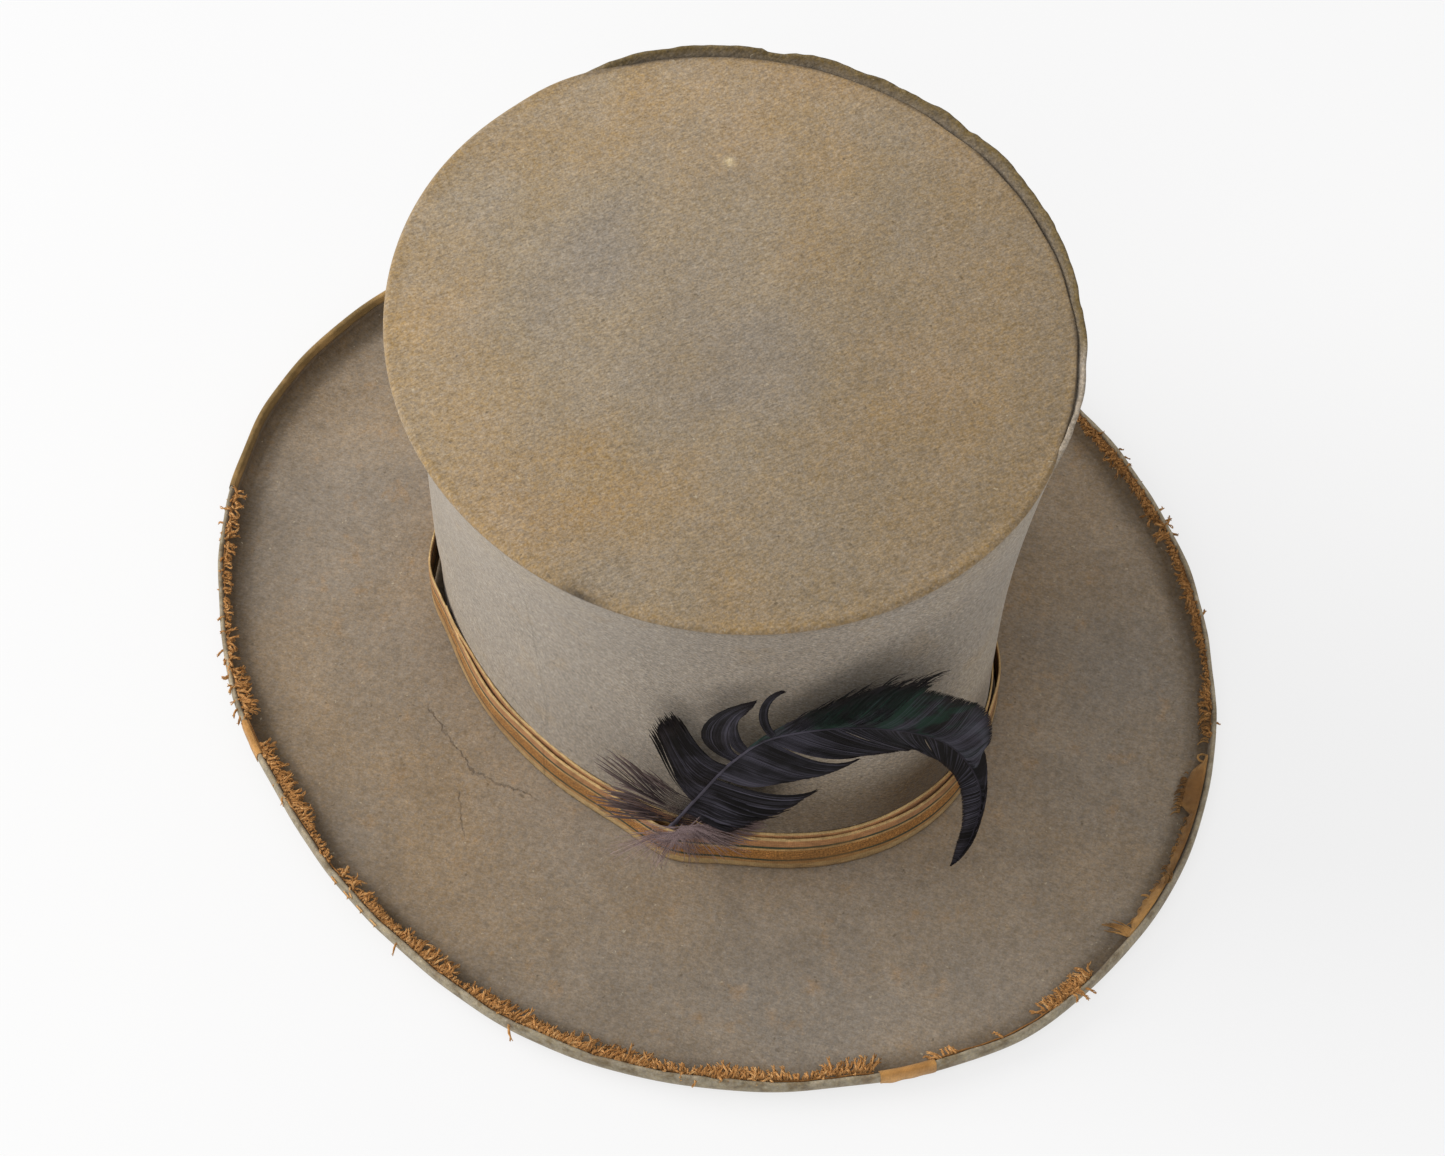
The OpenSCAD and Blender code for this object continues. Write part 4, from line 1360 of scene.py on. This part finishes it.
def lock(rng, roots, tips, count, side, leave, arrive=None, ragged=0.5, pull=(0.9, 0.8),
         cup=0.0, width=1.2, green=0.0, tone=(0.0, 1.0)):
    """A lock of barbs from a stretch of the quill to a line of tips.

    leave is the angle in degrees at which barbs leave the quill, arrive the way they end,
    ragged how uneven their ends are, and cup how far they bow outward on their way. A pair
    of values is for the first and the last barb.
    """
    steps = 12
    t = np.linspace(0, 1, count)
    u = mix(roots[0], roots[1], t)
    out_side = line_side(u) * side
    root = line_at(u) + out_side * quill_radius(u)[:, None] * 0.5
    tip = spline(np.array(tips, float), t * (len(tips) - 1))
    chord = tip - root
    length = np.linalg.norm(chord, axis=1, keepdims=True)
    turn = np.radians(blend(leave, t))[:, None]
    away = line_dir(u) * np.cos(turn) + out_side * np.sin(turn)
    end = unit(chord) if arrive is None else unit(blend(arrive, t))
    cut = 1 - np.abs(rng.normal(0, 0.02 * ragged, (count, 1)))
    tip = root + chord * cut + rng.normal(0, 0.10 * ragged, (count, 3))
    first = away * length * blend(pull[0], t)[:, None]
    last = end * length * blend(pull[1], t)[:, None]
    s = np.linspace(0, 1, steps)[None, :, None]
    lines = ((2 * s ** 3 - 3 * s ** 2 + 1) * root[:, None] + (s ** 3 - 2 * s ** 2 + s) * first[:, None]
             + (3 * s ** 2 - 2 * s ** 3) * tip[:, None] + (s ** 3 - s ** 2) * last[:, None])
    bow = np.sin(s * math.pi) * blend(cup, t)[:, None, None]
    lines = lines + AWAY * (bow + rng.uniform(-0.06, 0.06, (count, 1, 1)))
    wave = np.sin(t * rng.uniform(9, 14) + rng.uniform(0, 6)) + 0.6 * np.sin(t * rng.uniform(22, 34))
    lines = lines + wave[:, None, None] * s * AWAY * 0.10
    spread = np.linalg.norm(np.gradient(lines, axis=0), axis=2)
    wide = np.clip(spread * width, 0.05, 0.42)
    taper = 1 - ease((s[..., 0] - 0.8) / 0.2) * 0.85
    place = 0.4 + 0.10 * wave + rng.uniform(-0.35, 0.35, count)
    tones = mix(tone[0], tone[1], np.clip(place, 0, 1))
    return lines, wide * taper / 2 * 1.6, tones, np.full(count, green)


def barbs(lines, wide, depth, tones, green, face=BARBS_FACE):
    """Points, faces and values of barbs along lines, with half sizes in mm."""
    placed = in_place(lines)
    points, faces = strands(placed, wide * MM, depth * MM, np.broadcast_to(face, placed.shape))
    return points, faces, strand_values(len(lines), lines.shape[1], tones, green)


def locks_of_barbs(rng, locks, depth):
    """Points, faces and values of each lock."""
    parts = []
    for spec in locks:
        lines, wide, tones, green = lock(rng, **spec)
        parts.append(barbs(lines, wide, depth, tones, green))
    return parts


def feather_piece(name, node, locks, look, seed):
    made_of = join(locks_of_barbs(np.random.default_rng(seed), locks, 0.03))
    piece(name, node, made_of, look, "feather", smooth=False)


# The locks of each vane, from the quill's foot to its tip, as arguments of lock().
LOWER_LOCKS = [
    dict(roots=(1.5, 2.3), count=240, side=-1, leave=(46, 70), ragged=4.5, cup=(1.5, 2.6), width=0.9,
         arrive=((0.95, -0.2, 0.1), (0.9, 0.2, 0.1)), pull=(0.9, 0.7),
         tips=[(20, 10, 8), (26, 17, 9), (32, 24, 10), (37, 32, 12)]),
    dict(roots=(2.2, 2.52), count=110, side=-1, leave=(72, 86), ragged=1.0, cup=(2.6, 3.0),
         arrive=((0.9, 0.3, 0.1), (0.85, 0.5, 0.15)), pull=(0.9, 0.6),
         tips=[(37, 33, 12), (41, 41, 13.5), (45.6, 48.6, 14)]),
    dict(roots=(2.56, 3.8), count=330, side=-1, leave=(54, 66), ragged=0.6, cup=(2.2, 3.0),
         arrive=((0.75, 0.62, 0.1), (0.95, 0.3, 0.0)), pull=(0.9, 0.7),
         tips=[(31, 51, 12), (40, 57, 14), (48, 63, 15.5), (54, 69, 16.5), (57.5, 73.5, 16.5)]),
    dict(roots=(3.78, 4.7), count=320, side=-1, leave=(60, 44), ragged=0.4, cup=(2.4, 1.0),
         tips=[(54.5, 73.2, 16.3), (62, 74.6, 16), (68.7, 73, 14.4), (73, 71.5, 13.2)]),
    dict(roots=(4.7, 5.7), count=260, side=-1, leave=36, ragged=0.4, cup=(1.0, 0.4),
         tips=[(72, 72, 13.2), (76, 70.0, 12.5), (79, 63.5, 11), (82.5, 57, 9.5)]),
    dict(roots=(5.7, 8.9), count=360, side=-1, leave=24, ragged=0.5,
         tips=[(82.5, 57, 9.5), (88, 44, 8), (91, 30, 7), (92, 14, 10), (90.5, 2, 12), (89.4, -7, 14)]),
]
UPPER_LOCKS = [
    dict(roots=(3.35, 4.95), count=440, side=1, leave=26, ragged=0.9, green=0.5,
         tips=[(26, 80, 14), (33, 92, 15), (40, 101, 16), (48, 107.5, 16.5), (58, 113, 15.5),
               (68, 115.5, 14.4), (78, 113, 13)]),
    dict(roots=(4.0, 5.0), count=190, side=1, leave=22, ragged=7.0, green=0.1, width=0.13,
         arrive=((0.75, 0.66, 0.0), (1.0, 0.12, 0.0)), tone=(0.0, 0.3),
         tips=[(44, 106, 17), (57, 117, 16.5), (70, 121.5, 15.5), (84, 122, 14)]),
    dict(roots=(4.9, 5.9), count=320, side=1, leave=22, ragged=0.9, green=0.4,
         tips=[(70, 113, 14), (80, 108.5, 13), (87, 102, 12), (92.5, 96, 10.5)]),
    # This lock takes more of the painted sheen colour.
    dict(roots=(5.8, 6.6), count=240, side=1, leave=22, ragged=0.6, green=0.1, tone=(0.5, 1.0),
         tips=[(92.2, 96.5, 10.5), (96.4, 87, 9), (98, 78, 8.3), (98.6, 70, 7.8), (98.2, 64.5, 7.5),
               (96.6, 61, 7.2)]),
    dict(roots=(6.45, 8.9), count=420, side=1, leave=20, ragged=0.5, tone=(0.0, 0.9),
         tips=[(96.2, 61.5, 7), (97.8, 52, 5.5), (99, 40, 5), (99.4, 25, 7), (97.2, 4, 9.5),
               (93.6, -5, 12), (89.5, -8, 14)]),
]
SIDE_LOCKS = [
    dict(roots=(1.95, 2.84), count=320, side=1, leave=(40, 76), arrive=(-0.25, 1, 0.1), ragged=3.6,
         tips=[(-4.4, 75, 6), (-4.4, 80, 6.5), (-2.4, 84, 7), (0.4, 87, 7)],
         pull=((0.8, 0.8), (1.1, 0.9))),
    dict(roots=(2.0, 2.5), count=90, side=1, leave=50, arrive=(-0.3, 1, 0.1), ragged=5.0,
         tips=[(-7.5, 77, 6), (-4, 86, 6.5), (0, 89.5, 7)], pull=(0.8, 0.8), width=0.3, tone=(0.0, 0.3)),
    dict(roots=(2.96, 3.14), count=120, side=1, leave=(62, 60), arrive=(0.85, 0.5, 0.1), ragged=0.7,
         tips=[(25.4, 107.6, 14), (24.8, 105.4, 13.9), (24.2, 103.4, 13.8)],
         pull=((1.5, 0.7), (1.35, 0.7))),
    dict(roots=(3.2, 3.4), count=110, side=1, leave=(56, 44), arrive=(0.7, 0.7, 0.1), ragged=0.9,
         tips=[(24.0, 103.6, 13.8), (23.0, 101.0, 13.7), (21.4, 98.0, 13.6)],
         pull=((1.05, 0.9), (0.8, 0.8))),
    dict(roots=(3.9, 4.0), count=60, side=1, leave=75, arrive=(0.85, 0.5, 0.0), ragged=0.7,
         tips=[(32.6, 114.2, 14.4), (34.0, 113.4, 14.4)], pull=(1.2, 0.9)),
]


def make_vanes():
    black = feather_look("vane", (17, 15, 15), (80, 77, 88), (34, 68, 52))
    feather_piece("vane_lower", "feather_vane_lower", LOWER_LOCKS, black, 101)
    feather_piece("vane_upper", "feather_vane_upper", UPPER_LOCKS, black, 102)
    feather_piece("barb_tufts", "feather_side_barbs", SIDE_LOCKS, black, 103)


WISPS = [
    dict(roots=(1.5, 2.0), count=42, side=1, leave=66, arrive=(-0.6, 0.8, 0.0), ragged=9.0,
         tips=[(-26, 46, 1), (-21, 58, 2), (-14, 47, 3), (-8, 40, 3)], width=0.13, tone=(0.0, 0.2)),
    dict(roots=(1.05, 1.6), count=54, side=1, leave=80, arrive=(-1, 0.4, 0.0), ragged=10.0,
         tips=[(-24, 12, 2), (-27, 25, 1.5), (-21, 36, 2)], width=0.15, tone=(0.0, 0.45)),
    dict(roots=(1.0, 1.6), count=100, side=-1, leave=70, arrive=(1, 0.1, 0.1), ragged=8.0,
         tips=[(18, -2, 8), (28, 5, 8), (31, 16, 8)], width=0.22, tone=(0.0, 0.5)),
]


def tuft_lines(rng, count):
    """Fine curled threads of down, in clumps that hang from the foot of the quill."""
    clumps = 54
    t = np.linspace(0, 1, 9)
    clump = rng.integers(0, clumps, count)
    root = line_at(rng.uniform(0.95, 1.4, clumps)[clump]) + 0.9 * AWAY + rng.normal(0, 0.3, (count, 3))
    turn = rng.uniform(-0.35, TURN / 2 + 0.5, clumps)[clump] + rng.normal(0, 0.07, count)
    reach = rng.uniform(5, 24, count) * (0.7 + 0.3 * np.abs(np.cos(turn)))
    out = 0.22 + 0.2 * rng.uniform(0, 1, count)
    way = np.stack([np.cos(turn) * 0.85, -np.abs(np.sin(turn)) * 0.95, out], -1)
    curl = rng.normal(0, 3.6, (clumps, 3))[clump] + rng.normal(0, 0.9, (count, 3))
    curl = curl * np.array([1, 1, 0.3])
    lines = root[:, None] + way[:, None] * reach[:, None, None] * t[None, :, None]
    lines = lines + curl[:, None] * (t ** 2)[None, :, None]
    clear = 3.2 * np.exp(-((lines[..., 0]) / 14) ** 2) + 2.2         # stays outside the band
    lines[..., 2] = np.maximum(lines[..., 2], clear)
    return lines


def make_down():
    rng = np.random.default_rng(104)
    parts = locks_of_barbs(rng, WISPS, 0.04)
    count = 620
    lines = tuft_lines(rng, count)
    parts.append(barbs(lines, 0.055, 0.04, rng.uniform(0.45, 1, count), np.zeros(count), OUT))
    piece("down_tuft", "feather_down", join(parts), down_look(), "feather")


# ---- Floor, light and camera ----

def make_floor():
    look = Look("floor", 0.9, 0.1)
    tint = look.noise(look.place, 3, 2.0)
    look.set("Base Color", look.ramp(tint, (0.3, (126, 126, 127)), (0.7, (128, 128, 128))))
    look.set("Emission Color", (255, 255, 255))
    look.set("Emission Strength", 0.71)
    look.material.cycles.emission_sampling = "NONE"
    size = 12.0
    mesh = bpy.data.meshes.new("floor")
    mesh.from_pydata([(-size, -size, 0), (size, -size, 0), (size, size, 0), (-size, size, 0)], [],
                     [(0, 1, 2, 3)])
    mesh.materials.append(look.material)
    floor = bpy.data.objects.new("floor", mesh)
    bpy.context.scene.collection.objects.link(floor)


def area_light(name, place, target, size, power, colour=(1, 1, 1)):
    data = bpy.data.lights.new(name, "AREA")
    data.shape = "DISK"
    data.size = size
    data.energy = power
    data.color = colour
    made = bpy.data.objects.new(name, data)
    made.location = place
    made.rotation_euler = (Vector(target) - Vector(place)).to_track_quat("-Z", "Y").to_euler()
    bpy.context.scene.collection.objects.link(made)


def make_light():
    """A white studio, darker toward the ground, with a large key light and a small one above."""
    world = bpy.data.worlds.new("studio")
    bpy.context.scene.world = world
    world.use_nodes = True
    nodes, links = world.node_tree.nodes, world.node_tree.links
    background = nodes["Background"]
    background.inputs["Color"].default_value = (1.0, 1.0, 1.0, 1.0)
    split = nodes.new("ShaderNodeSeparateXYZ")
    links.new(nodes.new("ShaderNodeTexCoord").outputs["Generated"], split.inputs[0])
    level = nodes.new("ShaderNodeMapRange")
    level.inputs["To Min"].default_value = 0.38
    level.inputs["To Max"].default_value = 0.74
    links.new(split.outputs["Z"], level.inputs["Value"])
    links.new(level.outputs["Result"], background.inputs["Strength"])
    middle = (0.0, 0.0, 0.09)
    area_light("key", (1.22, -2.11, 1.50), middle, 2.2, 66, (1.0, 0.99, 0.97))
    area_light("top", (1.03, 0.38, 2.00), middle, 1.4, 11, (1.0, 1.0, 1.0))
    bpy.context.scene.view_settings.view_transform = "Standard"


AZIMUTH = math.radians(133.12)
ELEVATION = math.radians(59.02)
ROLL = math.radians(0.18)
DISTANCE = 1.3075
LENS = 99.18
SHIFT_X = 0.006436
SHIFT_Y = -0.026228
AIM = np.array([BASE_MID[0], BASE_MID[1], 63 * MM])


def make_camera():
    back = np.array([math.sin(AZIMUTH) * math.cos(ELEVATION),
                     -math.cos(AZIMUTH) * math.cos(ELEVATION), math.sin(ELEVATION)])
    right = unit(np.cross(UP, back))
    above = np.cross(back, right)
    turned = right * math.cos(ROLL) + above * math.sin(ROLL)
    above = -right * math.sin(ROLL) + above * math.cos(ROLL)
    place = AIM + back * DISTANCE
    data = bpy.data.cameras.new("camera")
    data.lens = LENS
    data.sensor_width = 36.0
    data.shift_x = SHIFT_X
    data.shift_y = SHIFT_Y
    data.clip_start = 0.05
    data.clip_end = 60.0
    camera = bpy.data.objects.new("camera", data)
    rows = np.stack([turned, above, back], 1)
    camera.matrix_world = Matrix.Translation(Vector(place)) @ Matrix(rows.tolist()).to_4x4()
    bpy.context.scene.collection.objects.link(camera)
    bpy.context.scene.camera = camera


make_side_felt()
make_tip_felt()
make_brim()
make_band()
make_binding()
make_sweatband()
make_reed()
make_lining()
dress_shells()
make_quill()
make_vanes()
make_down()
make_floor()
make_light()
make_camera()
